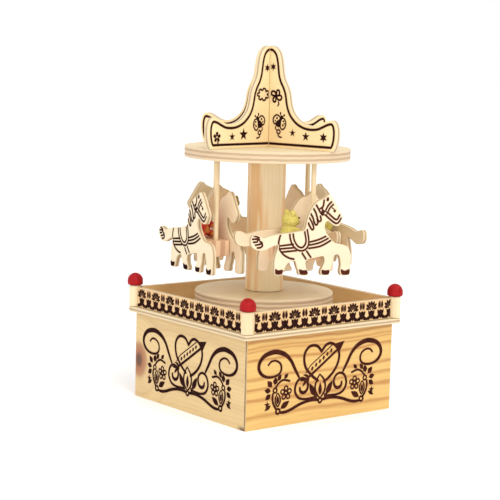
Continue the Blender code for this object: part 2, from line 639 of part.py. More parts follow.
def pinned_barrel():
    """The pin cylinder: rings of points, with a pin wherever the tune has a note."""
    bm = bmesh.new()
    around = 24
    tracks = COMB_TEETH
    rings = []
    for ring in range(tracks + 2):
        edge = ring in (0, tracks + 1)
        share = min(max((ring - 0.5) / tracks, 0.0), 1.0)
        points = []
        for step in range(around):
            note = not edge and (5 * ring + 3 * step + ring * step) % 11 < 2
            radius = CYLINDER_RADIUS + (PIN_HEIGHT if note else 0.0)
            angle = 2 * math.pi * step / around
            points.append(bm.verts.new((CYLINDER_START + share * CYLINDER_LENGTH,
                                        radius * math.cos(angle), radius * math.sin(angle))))
        rings.append(points)
    for near, far in zip(rings, rings[1:]):
        for step in range(around):
            after = (step + 1) % around
            bm.faces.new((near[step], near[after], far[after], far[step]))
    bm.faces.new(rings[0][::-1])
    bm.faces.new(rings[-1])
    return bm


def build_cylinder(looks):
    axis = make_empty("cylinder_axis", shift(z=CYLINDER_AXIS_Z))
    cylinder = make_object("pin_cylinder", pinned_barrel(), looks["brass"], axis)
    shaft_low = CROWN_WHEEL_RADIUS - WHEEL_WIDTH / 2
    shaft_high = FRAME_PLANE + FRAME_THICKNESS / 2 + 0.4 * MM
    shaft = lying_rod(SHAFT_DIAMETER, shaft_low, shaft_high)
    quarter = CYLINDER_PINION_TEETH / 4
    phase = 0.5 + quarter - math.floor(quarter)
    pinion = wheel_on_x(gear_outline(CYLINDER_PINION_TEETH, PINION_MODULE, phase),
                        CROWN_WHEEL_RADIUS, WHEEL_WIDTH)
    wheel = wheel_on_x(gear_outline(CYLINDER_WHEEL_TEETH, GOVERNOR_MODULE),
                       GOVERNOR_PLANE, WHEEL_WIDTH)
    join(cylinder, make_object("cylinder_shaft", shaft, None, axis),
         make_object("cylinder_pinion", pinion, None, axis),
         make_object("cylinder_wheel", wheel, None, axis))


def build_comb(looks):
    """The comb: a steel strip with one tooth for each track, the bass teeth cut deepest."""
    pitch = CYLINDER_LENGTH / COMB_TEETH
    tip_y = -(CYLINDER_RADIUS + PIN_HEIGHT + 0.4 * MM)
    back_y = BEDPLATE_Y[0]
    gap = 0.38 * pitch
    outline = [(CYLINDER_START, back_y), (CYLINDER_END, back_y), (CYLINDER_END, tip_y)]
    for tooth in range(COMB_TEETH - 1, 0, -1):
        slot = CYLINDER_START + pitch * tooth
        depth = tip_y - (3.6 + 3.4 * (1 - tooth / COMB_TEETH)) * MM
        outline += [(slot + gap / 2, tip_y), (slot + gap / 2, depth),
                    (slot - gap / 2, depth), (slot - gap / 2, tip_y)]
    outline.append((CYLINDER_START, tip_y))
    low = CYLINDER_AXIS_Z + COMB_LIFT
    make_object("comb", flat_shape(outline, low, low + COMB_THICKNESS), looks["steel"])


def worm_thread(low, high):
    """A single-start screw as one skin: its radius follows the turn and the height."""
    lead = math.pi * WORM_MODULE
    core, crest = WORM_RADIUS - 0.55 * MM, WORM_RADIUS + 0.4 * MM
    around, rows = 16, 26
    bm = bmesh.new()
    rings = []
    for row in range(rows + 1):
        height = low + (high - low) * row / rows
        ring = []
        for step in range(around):
            angle = 2 * math.pi * step / around
            turns = height / lead - (angle + math.pi / 2) / (2 * math.pi)
            from_crest = abs(turns % 1.0 - 0.5) * lead
            rise = min(max((0.30 * lead - from_crest) / (0.18 * lead), 0.0), 1.0)
            if row in (0, rows):
                rise = 0.0
            radius = core + (crest - core) * rise
            ring.append(bm.verts.new((radius * math.cos(angle), radius * math.sin(angle), height)))
        rings.append(ring)
    for under, over in zip(rings, rings[1:]):
        for step in range(around):
            after = (step + 1) % around
            bm.faces.new((under[step], under[after], over[after], over[step]))
    bm.faces.new(rings[0][::-1])
    bm.faces.new(rings[-1])
    return bm


def build_governor(looks):
    frame_low = BEDPLATE_TOP + GLUE_GAP
    worm_reach = 4.2 * MM
    shelf_low = CYLINDER_AXIS_Z - worm_reach - 2.2 * MM
    shelf_high = CYLINDER_AXIS_Z + worm_reach + 1.4 * MM
    frame_top = shelf_high + FRAME_THICKNESS
    shelf_y = (WORM_AXIS_Y - 2.6 * MM, WORM_AXIS_Y + 2.6 * MM)
    shelf_x = (WORM_PLANE - 2.4 * MM, FRAME_PLANE)
    plate = block((FRAME_PLANE - FRAME_THICKNESS / 2, -3 * MM, frame_low),
                  (FRAME_PLANE + FRAME_THICKNESS / 2, shelf_y[1], frame_top))
    frame = make_object("governor_frame", plate, looks["steel"])
    for number, low in enumerate((shelf_low, shelf_high)):
        shelf = block((shelf_x[0], shelf_y[0], low), (shelf_x[1], shelf_y[1], low + FRAME_THICKNESS))
        join(frame, make_object(f"governor_shelf_{number}", shelf, None))
    bearing = SHAFT_DIAMETER + 2 * RUNNING_GAP
    plate_span = (FRAME_PLANE - 2 * MM, FRAME_PLANE + 2 * MM)
    for number, y in enumerate((0, GOVERNOR_AXIS_Y)):
        hole = lying_rod(bearing, *plate_span)
        cut(frame, make_object(f"frame_bearing_{number}", hole, None, None,
                               shift(0, y, CYLINDER_AXIS_Z)))
    fly_hole = rod(bearing, shelf_low - MM, frame_top + MM, 16)
    cut(frame, make_object("fly_bearing", fly_hole, None, None, shift(WORM_PLANE, WORM_AXIS_Y)))

    wheel_axis = make_empty("governor_wheel_axis", shift(0, GOVERNOR_AXIS_Y, CYLINDER_AXIS_Z))
    pinion = wheel_on_x(gear_outline(GOVERNOR_PINION_TEETH, GOVERNOR_MODULE,
                                     0.5 + GOVERNOR_PINION_TEETH / 2), GOVERNOR_PLANE, WHEEL_WIDTH)
    wheel = make_object("governor_wheel", pinion, looks["brass"], wheel_axis)
    worm_wheel = wheel_on_x(gear_outline(WORM_WHEEL_TEETH, WORM_MODULE), WORM_PLANE, WORM_WHEEL_WIDTH)
    axle = lying_rod(SHAFT_DIAMETER, GOVERNOR_PLANE - 2 * MM, FRAME_PLANE + MM)
    join(wheel, make_object("worm_wheel", worm_wheel, None, wheel_axis),
         make_object("governor_axle", axle, None, wheel_axis))

    fly_axis = make_empty("fly_axis", shift(WORM_PLANE, WORM_AXIS_Y, CYLINDER_AXIS_Z))
    fly = make_object("governor_fly", worm_thread(-3.6 * MM, 3.6 * MM), looks["brass"], fly_axis)
    vane_low = frame_top + 0.6 * MM - CYLINDER_AXIS_Z
    spindle = rod(SHAFT_DIAMETER, shelf_low + 0.2 * MM - CYLINDER_AXIS_Z,
                  vane_low + FLY_HEIGHT, 16)
    vane = block((-FLY_SPAN / 2, -0.3 * MM, vane_low), (FLY_SPAN / 2, 0.3 * MM, vane_low + FLY_HEIGHT))
    join(fly, make_object("fly_spindle", spindle, None, fly_axis),
         make_object("fly_vane", vane, None, fly_axis))


def build():
    clear_scene()
    looks = {name: material(name, *settings) for name, settings in LOOKS.items()}
    axis = make_empty("carousel_axis", Matrix())
    base_board = build_box(looks)
    build_platform(looks)
    canopy = build_carousel(looks, axis)
    for name in STATIONS:
        build_station(looks, axis, canopy, name)
    build_crown(looks, axis)
    build_bedplate(looks, base_board)
    build_spring(looks)
    build_crown_wheel(looks, axis)
    build_cylinder(looks)
    build_comb(looks)
    build_governor(looks)


build()
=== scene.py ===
"""Carousel music box in wood: the finished look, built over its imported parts.

Metres, +Z up. Boards are cut from flat outlines given in millimetres, and their burnt
ornament is engraved into the face as real grooves.
"""

import json
import math

import bmesh
import bpy
from mathutils import Matrix, Vector, noise
from mathutils.geometry import convex_hull_2d, delaunay_2d_cdt


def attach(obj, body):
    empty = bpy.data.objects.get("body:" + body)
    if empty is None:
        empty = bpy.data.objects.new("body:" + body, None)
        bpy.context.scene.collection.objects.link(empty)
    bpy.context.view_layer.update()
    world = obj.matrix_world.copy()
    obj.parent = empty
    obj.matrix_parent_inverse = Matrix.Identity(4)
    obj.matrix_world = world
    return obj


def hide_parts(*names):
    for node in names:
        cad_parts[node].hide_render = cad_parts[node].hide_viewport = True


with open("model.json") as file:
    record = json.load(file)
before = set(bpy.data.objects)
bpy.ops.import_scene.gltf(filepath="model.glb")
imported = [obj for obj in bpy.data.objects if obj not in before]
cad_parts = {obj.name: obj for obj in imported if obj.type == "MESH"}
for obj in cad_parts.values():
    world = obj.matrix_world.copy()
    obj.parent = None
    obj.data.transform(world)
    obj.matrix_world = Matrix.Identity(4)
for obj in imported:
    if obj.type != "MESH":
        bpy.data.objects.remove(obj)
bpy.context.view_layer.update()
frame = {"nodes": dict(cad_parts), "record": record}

MM = 0.001
SIDES = ("front", "right", "back", "left")
CORNERS = ("front_left", "front_right", "back_right", "back_left")
GAP = 0.3
BOX_HALF = 50.0
CORNER_GAP = 0.22
PANEL_HIGH = 47.2
PANEL_THICK = 7.0
PANEL_LEDGE = 3.5
PANEL_BOLDNESS = 1.13
BASE_TOP = 4.9
PLATFORM_LOW = 47.5
PLATFORM_HALF = 53.4
PLATFORM_THICK = 2.7
PLATFORM_CORNER = 1.8
ARBOR_HOLE = 5.5
POST_PLACE = 50.5
POST_RADIUS = 3.2
POST_LOW, POST_HIGH = 50.5, 62.05
CAP_RADIUS = 4.35
CAP_MIDDLE = 64.6
FENCE_LONG, FENCE_HIGH, FENCE_THICK = 94.0, 10.8, 2.5
FENCE_REPEAT = 13.28
FENCE_STARTS = (6.3, -2.75)
FENCE_SET_BACK = 0.4
TURNTABLE_LOW, TURNTABLE_THICK, TURNTABLE_RADIUS = 56.6, 6.0, 37.7
COLUMN_RADIUS = 10.3
COLUMN_LOW, COLUMN_HIGH = 62.9, 134.2
CANOPY_LOW, CANOPY_SHEET, CANOPY_RADIUS = 134.8, 3.0, 44.85
POLE_ANGLES = {"front": -86.1, "right": 12.3, "back": 102.3, "left": -174.7}
POLE_CIRCLE = 36.4
POLE_RADIUS = 1.35
POLE_LOW, POLE_HIGH = 87.8, 137.5
SOCKET_RADIUS = 1.68
SEAT_LOW, SEAT_HIGH = 84.2, 92.5
SEAT_BACK, SEAT_FRONT = -22.0, 5.6
HORSE_TURNS = {"front": -14.0, "right": -19.0, "back": -16.9, "left": -12.9}
HORSE_LEANS = {"front": -0.045, "right": 0.0, "back": 0.0, "left": 0.02}
HORSE_THICK = 2.7
BOARD_SPACING = 17.4
BOARD_SHIFT = 1.7
HOOF_LEVEL = 75.9
CROWN_ANGLE = 10.2
CROWN_LOW = 140.8
CROWN_HIGH = 54.2
CROWN_THICK = 3.0
GROOVE = 0.25
SCORCH = 0.45
UNBURNT_RIM = 0.22
FACE, RIM, CHAR = 0, 1, 2
LIT_POINT = Vector((0, 0, 0.09))
CAMERA_TARGET = Vector((-0.00639, 0.00503, 0.08417))
CAMERA_AZIMUTH, CAMERA_ELEVATION, CAMERA_ROLL = -38.22, 7.36, 1.45
CAMERA_DISTANCE, CAMERA_LENS = 0.86971, 114.9


# ---------------------------------------------------------------- finishes

def add(tree, kind, inputs=None, **settings):
    """A shader node with its settings, its inputs linked or set by index or name."""
    node = tree.nodes.new("ShaderNode" + kind)
    for key, value in settings.items():
        setattr(node, key, value)
    for key, value in (inputs or {}).items():
        if isinstance(value, bpy.types.NodeSocket):
            tree.links.new(value, node.inputs[key])
        else:
            node.inputs[key].default_value = value
    return node


def maths(tree, operation, a, b=0.0, c=0.0):
    return add(tree, "Math", {0: a, 1: b, 2: c}, operation=operation).outputs[0]


def times(tree, a, b):
    return maths(tree, "MULTIPLY", a, b)


def times_plus(tree, a, b, c):
    return maths(tree, "MULTIPLY_ADD", a, b, c)


def held(tree, amount):
    """The amount, kept from nothing to one."""
    return maths(tree, "MINIMUM", maths(tree, "MAXIMUM", amount, 0.0), 1.0)


def blend(tree, amount, a, b, mode="MIX"):
    """Mixes two colours. A plain tuple stands for a set colour."""
    a = (*a, 1.0) if isinstance(a, tuple) else a
    b = (*b, 1.0) if isinstance(b, tuple) else b
    node = add(tree, "Mix", {0: amount, 6: a, 7: b}, data_type="RGBA", blend_type=mode)
    return node.outputs[2]


def shaded(tree, colour, shade):
    """A colour darkened by a grey level."""
    grey = add(tree, "CombineColor", {0: shade, 1: shade, 2: shade}).outputs[0]
    return blend(tree, 1.0, colour, grey, "MULTIPLY")


def ramp(tree, value, stops, ease="LINEAR"):
    """A grey ramp from (place, level) stops."""
    node = add(tree, "ValToRGB", {0: value})
    levels = node.color_ramp
    levels.interpolation = ease
    while len(levels.elements) < len(stops):
        levels.elements.new(0.5)
    for element, (place, level) in zip(levels.elements, stops):
        element.position = place
        element.color = (level, level, level, 1.0)
    return node.outputs[0]


def speckle(tree, vector, scale, detail=2.0, roughness=0.5):
    made = add(tree, "TexNoise", {"Vector": vector, "Scale": scale, "Detail": detail,
                                  "Roughness": roughness}, noise_dimensions="3D")
    return made.outputs[0]


def figure(tree, vector, scales, detail, roughness=0.5, offset=(0.0, 0.0, 0.0)):
    """Speckle drawn out by its own scale along each direction of a surface."""
    place = add(tree, "Mapping", {"Vector": vector, "Location": offset, "Scale": scales})
    return speckle(tree, place.outputs[0], 1.0, detail, roughness)


def new_finish(name, roughness, metallic=0.0, specular=0.5):
    made = bpy.data.materials.new(name)
    made.use_nodes = True
    tree = made.node_tree
    shader = tree.nodes["Principled BSDF"]
    shader.inputs["Roughness"].default_value = roughness
    shader.inputs["Metallic"].default_value = metallic
    shader.inputs["Specular IOR Level"].default_value = specular
    return made, tree


def surfaced(made, colour, height, strength, distance=0.0001, roughness=None):
    """The finish with its colour and raised grain in place, and its roughness where it varies."""
    tree = made.node_tree
    shader = tree.nodes["Principled BSDF"]
    bump = add(tree, "Bump", {"Height": height, "Strength": strength, "Distance": distance})
    tree.links.new(colour, shader.inputs["Base Color"])
    tree.links.new(bump.outputs[0], shader.inputs["Normal"])
    if roughness:
        tree.links.new(roughness, shader.inputs["Roughness"])
    return made


def board_place(tree):
    """A board's own surface: u along its grain and v across it, in metres."""
    uv = add(tree, "UVMap", uv_map="wood").outputs[0]
    parts = add(tree, "SeparateXYZ", {0: uv})
    return uv, parts.outputs[0], parts.outputs[1]


def scorched(tree, colour):
    """The wood browned beside a burnt line."""
    heat = add(tree, "Attribute", attribute_name="burn").outputs["Fac"]
    return blend(tree, times(tree, heat, 0.8), colour, (0.30, 0.12, 0.05))


def pine(name, pale, amber, streaks, strength, knot=None, seed=0.0):
    """Planed pine: amber rings and fibres and, on one panel, a knot and a burnt corner."""
    made, tree = new_finish(name, 0.5)
    uv, u, v = board_place(tree)
    slow = figure(tree, uv, (22, 60, 1), 3.0, offset=(seed, seed, 0))
    wave = times_plus(tree, slow, 0.0055, -0.00275)
    level = maths(tree, "ADD", v, wave)
    if knot:
        knot_u, knot_v, radius = knot
        along = maths(tree, "SUBTRACT", u, knot_u)
        across = times(tree, maths(tree, "SUBTRACT", v, knot_v), 0.72)
        away = maths(tree, "SQRT", maths(tree, "ADD", times(tree, along, along),
                                         times(tree, across, across)))
        away = maths(tree, "ADD", away, times(tree, wave, 0.5))
        core = maths(tree, "DIVIDE", away, radius)
        pull = ramp(tree, maths(tree, "DIVIDE", core, 4.0), ((0.0, 1.0), (0.25, 0.9), (1.0, 0.0)),
                    "EASE")
        rings = maths(tree, "ADD", times(tree, away, 0.9), knot_v)
        level = add(tree, "Mix", {0: pull, 2: level, 3: rings}, data_type="FLOAT").outputs[0]
    bands = ramp(tree, maths(tree, "DIVIDE", level, PANEL_HIGH * MM), streaks)
    fine = maths(tree, "FRACT", times_plus(tree, level, 420.0, times(tree, slow, 1.4)))
    fine = ramp(tree, fine, ((0.0, 0.0), (0.6, 0.25), (0.9, 1.0), (1.0, 0.0)))
    fibre = figure(tree, uv, (60, 2600, 1), 3.0, 0.6, offset=(seed, 0, 0))
    broad = figure(tree, uv, (18, 50, 1), 2.0, offset=(0, seed, 0))
    amount = times_plus(tree, fine, 0.16, times(tree, bands, strength))
    amount = times_plus(tree, broad, 0.30, maths(tree, "SUBTRACT", amount, 0.12))
    colour = blend(tree, held(tree, amount), pale, amber)
    colour = shaded(tree, colour, times_plus(tree, fibre, 0.30, 0.84))
    if knot:
        ring = ramp(tree, core, ((0.0, 1.0), (0.45, 1.0), (0.75, 0.75), (1.0, 0.0)))
        colour = blend(tree, times(tree, ring, 0.9), colour, (0.33, 0.10, 0.035))
        heart = ramp(tree, core, ((0.0, 1.0), (0.22, 0.9), (0.42, 0.0)))
        colour = blend(tree, times(tree, heart, 0.85), colour, (0.07, 0.025, 0.012))
        patchy = figure(tree, uv, (300, 160, 1), 3.0)
        end = times(tree, u, 20.0)
        low = ramp(tree, times(tree, v, 100.0), ((0.0, 1.0), (0.12, 0.8), (0.26, 0.0)))
        edge = times(tree, ramp(tree, end, ((0.0, 0.0), (0.974, 0.0), (0.984, 0.9), (1.0, 1.0))),
                     ramp(tree, patchy, ((0.30, 0.45), (0.5, 1.0))))
        foot = times(tree, low,
                     ramp(tree, end, ((0.0, 0.0), (0.86, 0.0), (0.93, 0.9), (1.0, 1.0))))
        colour = blend(tree, maths(tree, "MAXIMUM", edge, foot), colour, (0.055, 0.018, 0.012))
    return surfaced(made, scorched(tree, colour), times_plus(tree, fibre, 0.7, fine), 0.25)


def birch(name, pale, warm, contrast, seed):
    """A rotary-cut birch face: pale, with long soft figure and short flecks."""
    made, tree = new_finish(name, 0.55)
    uv = board_place(tree)[0]
    swirl = figure(tree, uv, (35, 190, 1), 4.0, offset=(seed, seed * 0.7, 0))
    fleck = figure(tree, uv, (260, 2400, 1), 2.0, 0.6, offset=(0, seed, 0))
    spot = ramp(tree, fleck, ((0.0, 0.0), (0.60, 0.0), (0.74, 1.0)))
    cloud = figure(tree, uv, (30, 40, 1), 2.0, offset=(seed, 0, 0))
    amount = times_plus(tree, swirl, contrast * 1.6, -contrast * 0.45)
    amount = maths(tree, "ADD", amount, times(tree, spot, contrast * 0.6))
    amount = times_plus(tree, cloud, contrast * 0.7,
                        maths(tree, "SUBTRACT", amount, contrast * 0.35))
    colour = blend(tree, held(tree, amount), pale, warm)
    return surfaced(made, scorched(tree, colour), maths(tree, "ADD", swirl, fleck), 0.2)


def ply_edge(name, light, dark, layers, strength):
    """The sawn edge of plywood: u runs round the edge and v is the share of its thickness."""
    made, tree = new_finish(name, 0.7)
    uv, _, v = board_place(tree)
    wobble = figure(tree, uv, (160, 0.5, 1), 4.0, 0.65)
    place = times_plus(tree, wobble, 0.10, maths(tree, "SUBTRACT", v, 0.05))
    stops = []
    for layer in range(layers):
        tone = 1.0 if layer % 2 else 0.0
        stops += [(layer / layers + 0.03, tone), ((layer + 1) / layers - 0.03, tone)]
    bands = ramp(tree, place, stops)
    pores = figure(tree, uv, (2600, 14, 1), 3.0, 0.7)
    strands = figure(tree, uv, (110, 26, 1), 3.0, 0.6)
    amount = times(tree, bands, times_plus(tree, pores, 0.9, 0.30))
    amount = times_plus(tree, strands, 0.35, maths(tree, "SUBTRACT", amount, 0.12))
    colour = blend(tree, held(tree, times(tree, amount, strength)), light, dark)
    split = ramp(tree, strands, ((0.0, 1.0), (0.24, 1.0), (0.30, 0.0)))
    colour = blend(tree, times(tree, split, 0.5), colour, (0.16, 0.09, 0.05))
    return surfaced(made, colour, maths(tree, "SUBTRACT", pores, bands), 0.5, 0.0002)


def burnt(name, black, brown):
    """Charred wood at the bottom of an engraved line, lighter where the iron moved fast."""
    made, tree = new_finish(name, 0.9, specular=0.05)
    uv = board_place(tree)[0]
    patch = figure(tree, uv, (260, 260, 1), 3.0)
    grain = figure(tree, uv, (300, 2400, 1), 2.0)
    amount = ramp(tree, times_plus(tree, grain, 0.5, times(tree, patch, 0.6)),
                  ((0.35, 0.0), (0.75, 1.0)))
    return surfaced(made, blend(tree, amount, black, brown), grain, 0.5)


def turned_wood(name, pale, amber, scale, contrast, seed):
    """Upright dowel: the grain runs up it in soft bands and fine lines."""
    made, tree = new_finish(name, 0.5)
    place = add(tree, "TexCoord").outputs["Object"]
    shift = add(tree, "Mapping", {"Vector": place, "Location": (seed, seed * 0.6, 0)}).outputs[0]
    bands = figure(tree, shift, (210 * scale, 210 * scale, 9), 2.0)
    bands = ramp(tree, bands, ((0.0, 0.0), (0.46, 0.05), (0.56, 0.8), (0.62, 1.0), (0.66, 0.15)))
    lines = figure(tree, shift, (2400, 2400, 60), 3.0, 0.6)
    broad = figure(tree, shift, (60 * scale, 60 * scale, 12), 2.0)
    amount = times_plus(tree, broad, 0.35, times(tree, bands, contrast))
    colour = blend(tree, held(tree, maths(tree, "SUBTRACT", amount, 0.22)), pale, amber)
    colour = shaded(tree, colour, times_plus(tree, lines, 0.26, 0.86))
    return surfaced(made, colour, lines, 0.25)


def red_lacquer(name):
    """Brushed red paint on turned wood, nearly matt."""
    made, tree = new_finish(name, 0.55, specular=0.15)
    place = add(tree, "TexCoord").outputs["Object"]
    cloud = speckle(tree, place, 420.0, 3.0)
    orange_peel = speckle(tree, place, 2600.0, 2.0)
    colour = blend(tree, ramp(tree, cloud, ((0.3, 0.0), (0.7, 1.0))), (0.26, 0.004, 0.005),
                   (0.42, 0.008, 0.010))
    return surfaced(made, colour, maths(tree, "ADD", cloud, orange_peel), 0.3, 0.00015,
                    times_plus(tree, cloud, 0.3, 0.35))


def flocked(name, base, shadow, patch=None):
    """A painted figure with a rough crumbly skin."""
    made, tree = new_finish(name, 0.75, specular=0.25)
    place = add(tree, "TexCoord").outputs["Object"]
    crumb = speckle(tree, place, 1500.0, 4.0, 0.65)
    cloud = speckle(tree, place, 260.0, 3.0)
    colour = blend(tree, ramp(tree, crumb, ((0.30, 0.0), (0.62, 1.0))), shadow, base)
    if patch:
        colour = blend(tree, ramp(tree, cloud, ((0.52, 0.0), (0.60, 1.0))), colour, patch)
    return surfaced(made, colour, crumb, 0.9, 0.0004)


def worked_metal(name, colour, roughness):
    """Turned or cast metal, with tool marks and dull patches."""
    made, tree = new_finish(name, roughness, 1.0)
    place = add(tree, "TexCoord").outputs["Object"]
    tool = figure(tree, place, (300, 300, 4000), 2.0)
    tarnish = speckle(tree, place, 220.0, 3.0)
    dull = tuple(0.62 * part for part in colour)
    colour = blend(tree, ramp(tree, tarnish, ((0.35, 0.0), (0.75, 0.8))), colour, dull)
    return surfaced(made, colour, tool, 0.2, 0.00005,
                    times_plus(tree, tool, 0.25, roughness - 0.1))


# ------------------------------------------------------------- burnt marks

def curve_through(points, width, closed=False, steps=4):
    """Points with widths along a smooth line through the given (x, y) or (x, y, width)."""
    knots = [(p[0], p[1], p[2] if len(p) > 2 else width) for p in points]
    count = len(knots)
    if count == 2:
        return knots
    out = []
    for i in range(count if closed else count - 1):
        if closed:
            a, b, c, d = (knots[(i + k) % count] for k in (-1, 0, 1, 2))
        else:
            a, b, c, d = (knots[min(max(i + k, 0), count - 1)] for k in (-1, 0, 1, 2))
        for step in range(steps):
            t = step / steps
            out.append(tuple(
                0.5 * (2 * q + (r - p) * t + (2 * p - 5 * q + 4 * r - s) * t * t
                       + (3 * q - p - 3 * r + s) * t ** 3)
                for p, q, r, s in zip(a, b, c, d)))
    if not closed:
        out.append(knots[-1])
    return out


def line(points, width=1.0, closed=False, steps=4):
    return ("line", curve_through(points, width, closed, steps), closed)


def solid(points, smooth=True):
    outline = curve_through(points, 0.0, True, 3) if smooth else points
    return ("solid", [(p[0], p[1]) for p in outline], True)


def around(count, radius, x=0.0, y=0.0, start=0.0):
    """Points evenly round a circle, from this many degrees."""
    angles = [math.radians(start + 360 * k / count) for k in range(count)]
    return [(x + radius * math.cos(a), y + radius * math.sin(a)) for a in angles]


def ring(x, y, radius, width):
    return line(around(8, radius, x, y), width, True, 3)


def dot(x, y, radius, count=10):
    return ("solid", around(count, radius, x, y), True)


def star(x, y, radius, arms=5, inner=0.42):
    tips = around(arms, radius, x, y, 90)
    dents = around(arms, radius * inner, x, y, 90 + 180 / arms)
    return solid([point for pair in zip(tips, dents) for point in pair], False)


def leaf(x0, y0, x1, y1, width):
    return line([(x0, y0, 0.25), ((2 * x0 + x1) / 3, (2 * y0 + y1) / 3, width),
                 ((x0 + 2 * x1) / 3, (y0 + 2 * y1) / 3, width * 0.85), (x1, y1, 0.2)])


def flipped(marks):
    """The same marks, left and right changed over."""
    return [(kind, [(-p[0], *p[1:]) for p in points], closed) for kind, points, closed in marks]


def bolder(marks, share):
    """The same marks with every line this many times as wide."""
    return [(kind, [(p[0], p[1], share * p[2]) for p in points], closed) if kind == "line"
            else (kind, points, closed) for kind, points, closed in marks]


def signed_area(points):
    """Twice the area, and more than nothing if the points go counter-clockwise."""
    return sum(p[0] * q[1] - q[0] * p[1] for p, q in zip(points, points[1:] + points[:1]))


def counter_clockwise(points):
    points = list(points)
    return points if signed_area(points) > 0 else points[::-1]


def grown_outline(points, grow):
    """A closed outline pushed out by this much, or in where it is negative."""
    side = 1.0 if signed_area(points) > 0 else -1.0
    places = [Vector(p[:2]) for p in points]
    out = []
    for before, here, after in zip(places[-1:] + places[:-1], places, places[1:] + places[:1]):
        a, b = (here - before).normalized(), (after - here).normalized()
        na, nb = Vector((a.y, -a.x)) * side, Vector((b.y, -b.x)) * side
        middle = na + nb
        if middle.length < 0.2:
            middle = na
        middle.normalize()
        out.append(tuple(here + middle * grow / max(middle.dot(na), 0.5)))
    return out


def shapes_of(mark, grow):
    """The small convex shapes that cover a mark, made wider by grow all round."""
    kind, points, closed = mark
    if kind == "solid":
        return [grown_outline(points, grow)]
    shapes = []
    places = [Vector(p[:2]) for p in points]
    halves = [max(p[2], 0.15) / 2 + grow for p in points]
    count = len(places)
    normals = []
    for i in range(count):
        if closed:
            run = places[(i + 1) % count] - places[i - 1]
        else:
            run = places[min(i + 1, count - 1)] - places[max(i - 1, 0)]
        run.normalize()
        normals.append(Vector((-run.y, run.x)))
    for i in range(count if closed else count - 1):
        j = (i + 1) % count
        shapes.append([places[i] - normals[i] * halves[i], places[j] - normals[j] * halves[j],
                       places[j] + normals[j] * halves[j], places[i] + normals[i] * halves[i]])
    if not closed:
        for end, sign in ((0, 1.0), (count - 1, -1.0)):
            side = normals[end]
            back = Vector((-side.y, side.x)) * sign
            cap = [places[end] + halves[end] * (side * math.cos(a) + back * math.sin(a))
                   for a in (0, math.pi / 4, math.pi / 2, 3 * math.pi / 4, math.pi)]
            shapes.append(cap)
    hulls = [[shape[i] for i in convex_hull_2d(shape)] for shape in shapes]
    return [[tuple(p) for p in hull] for hull in hulls if len(hull) > 2]


def engraved_face(bm, outline, marks, height, facing, holes):
    """One face of a board at this height, with every mark sunk into it as a charred groove."""
    uv_layer = bm.loops.layers.uv["wood"]
    heat_layer = bm.verts.layers.float["burn"]
    places, faces, kinds = [], [], []
    jobs = [(outline, "board"), (grown_outline(outline, -UNBURNT_RIM), "field")]
    jobs += [(hole, "hole") for hole in holes]
    for mark in marks:
        jobs += [(shape, "line") for shape in shapes_of(mark, 0.0)]
        jobs += [(shape, "near") for shape in shapes_of(mark, SCORCH)]
    for shape, kind in jobs:
        shape = counter_clockwise(shape)
        if signed_area(shape) < 1e-4:
            continue
        faces.append(list(range(len(places), len(places) + len(shape))))
        places += [Vector(p[:2]) for p in shape]
        kinds.append(kind)
    found = delaunay_2d_cdt(places, [], faces, 1, 1e-4, True)
    points, triangles, sources = found[0], found[2], found[5]
    charred, plain = [], []
    for triangle, source in zip(triangles, sources):
        names = {kinds[i] for i in source}
        if "board" in names and "hole" not in names:
            (charred if {"line", "field"} <= names else plain).append(triangle)
    hot = {i for triangle in charred for i in triangle}
    made = {}

    def corner(i, sunk):
        if (i, sunk) not in made:
            depth = GROOVE if sunk else 0.0
            vert = bm.verts.new((points[i].x, points[i].y, height - facing * depth))
            vert[heat_layer] = 1.0 if i in hot else 0.0
            made[(i, sunk)] = vert
        return made[(i, sunk)]

    def face(corners, group):
        new = bm.faces.new(corners[::facing])
        new.material_index = group
        for loop in new.loops:
            loop[uv_layer].uv = (loop.vert.co.x * MM, loop.vert.co.y * MM)

    for triangle in plain:
        face([corner(i, False) for i in triangle], FACE)
    for triangle in charred:
        face([corner(i, True) for i in triangle], CHAR)
    plain_edges = {(a, b) for t in plain for a, b in zip(t, t[1:] + t[:1])}
    for triangle in charred:
        for a, b in zip(triangle, triangle[1:] + triangle[:1]):
            if (b, a) in plain_edges:
                face([corner(b, True), corner(a, True), corner(a, False), corner(b, False)], CHAR)


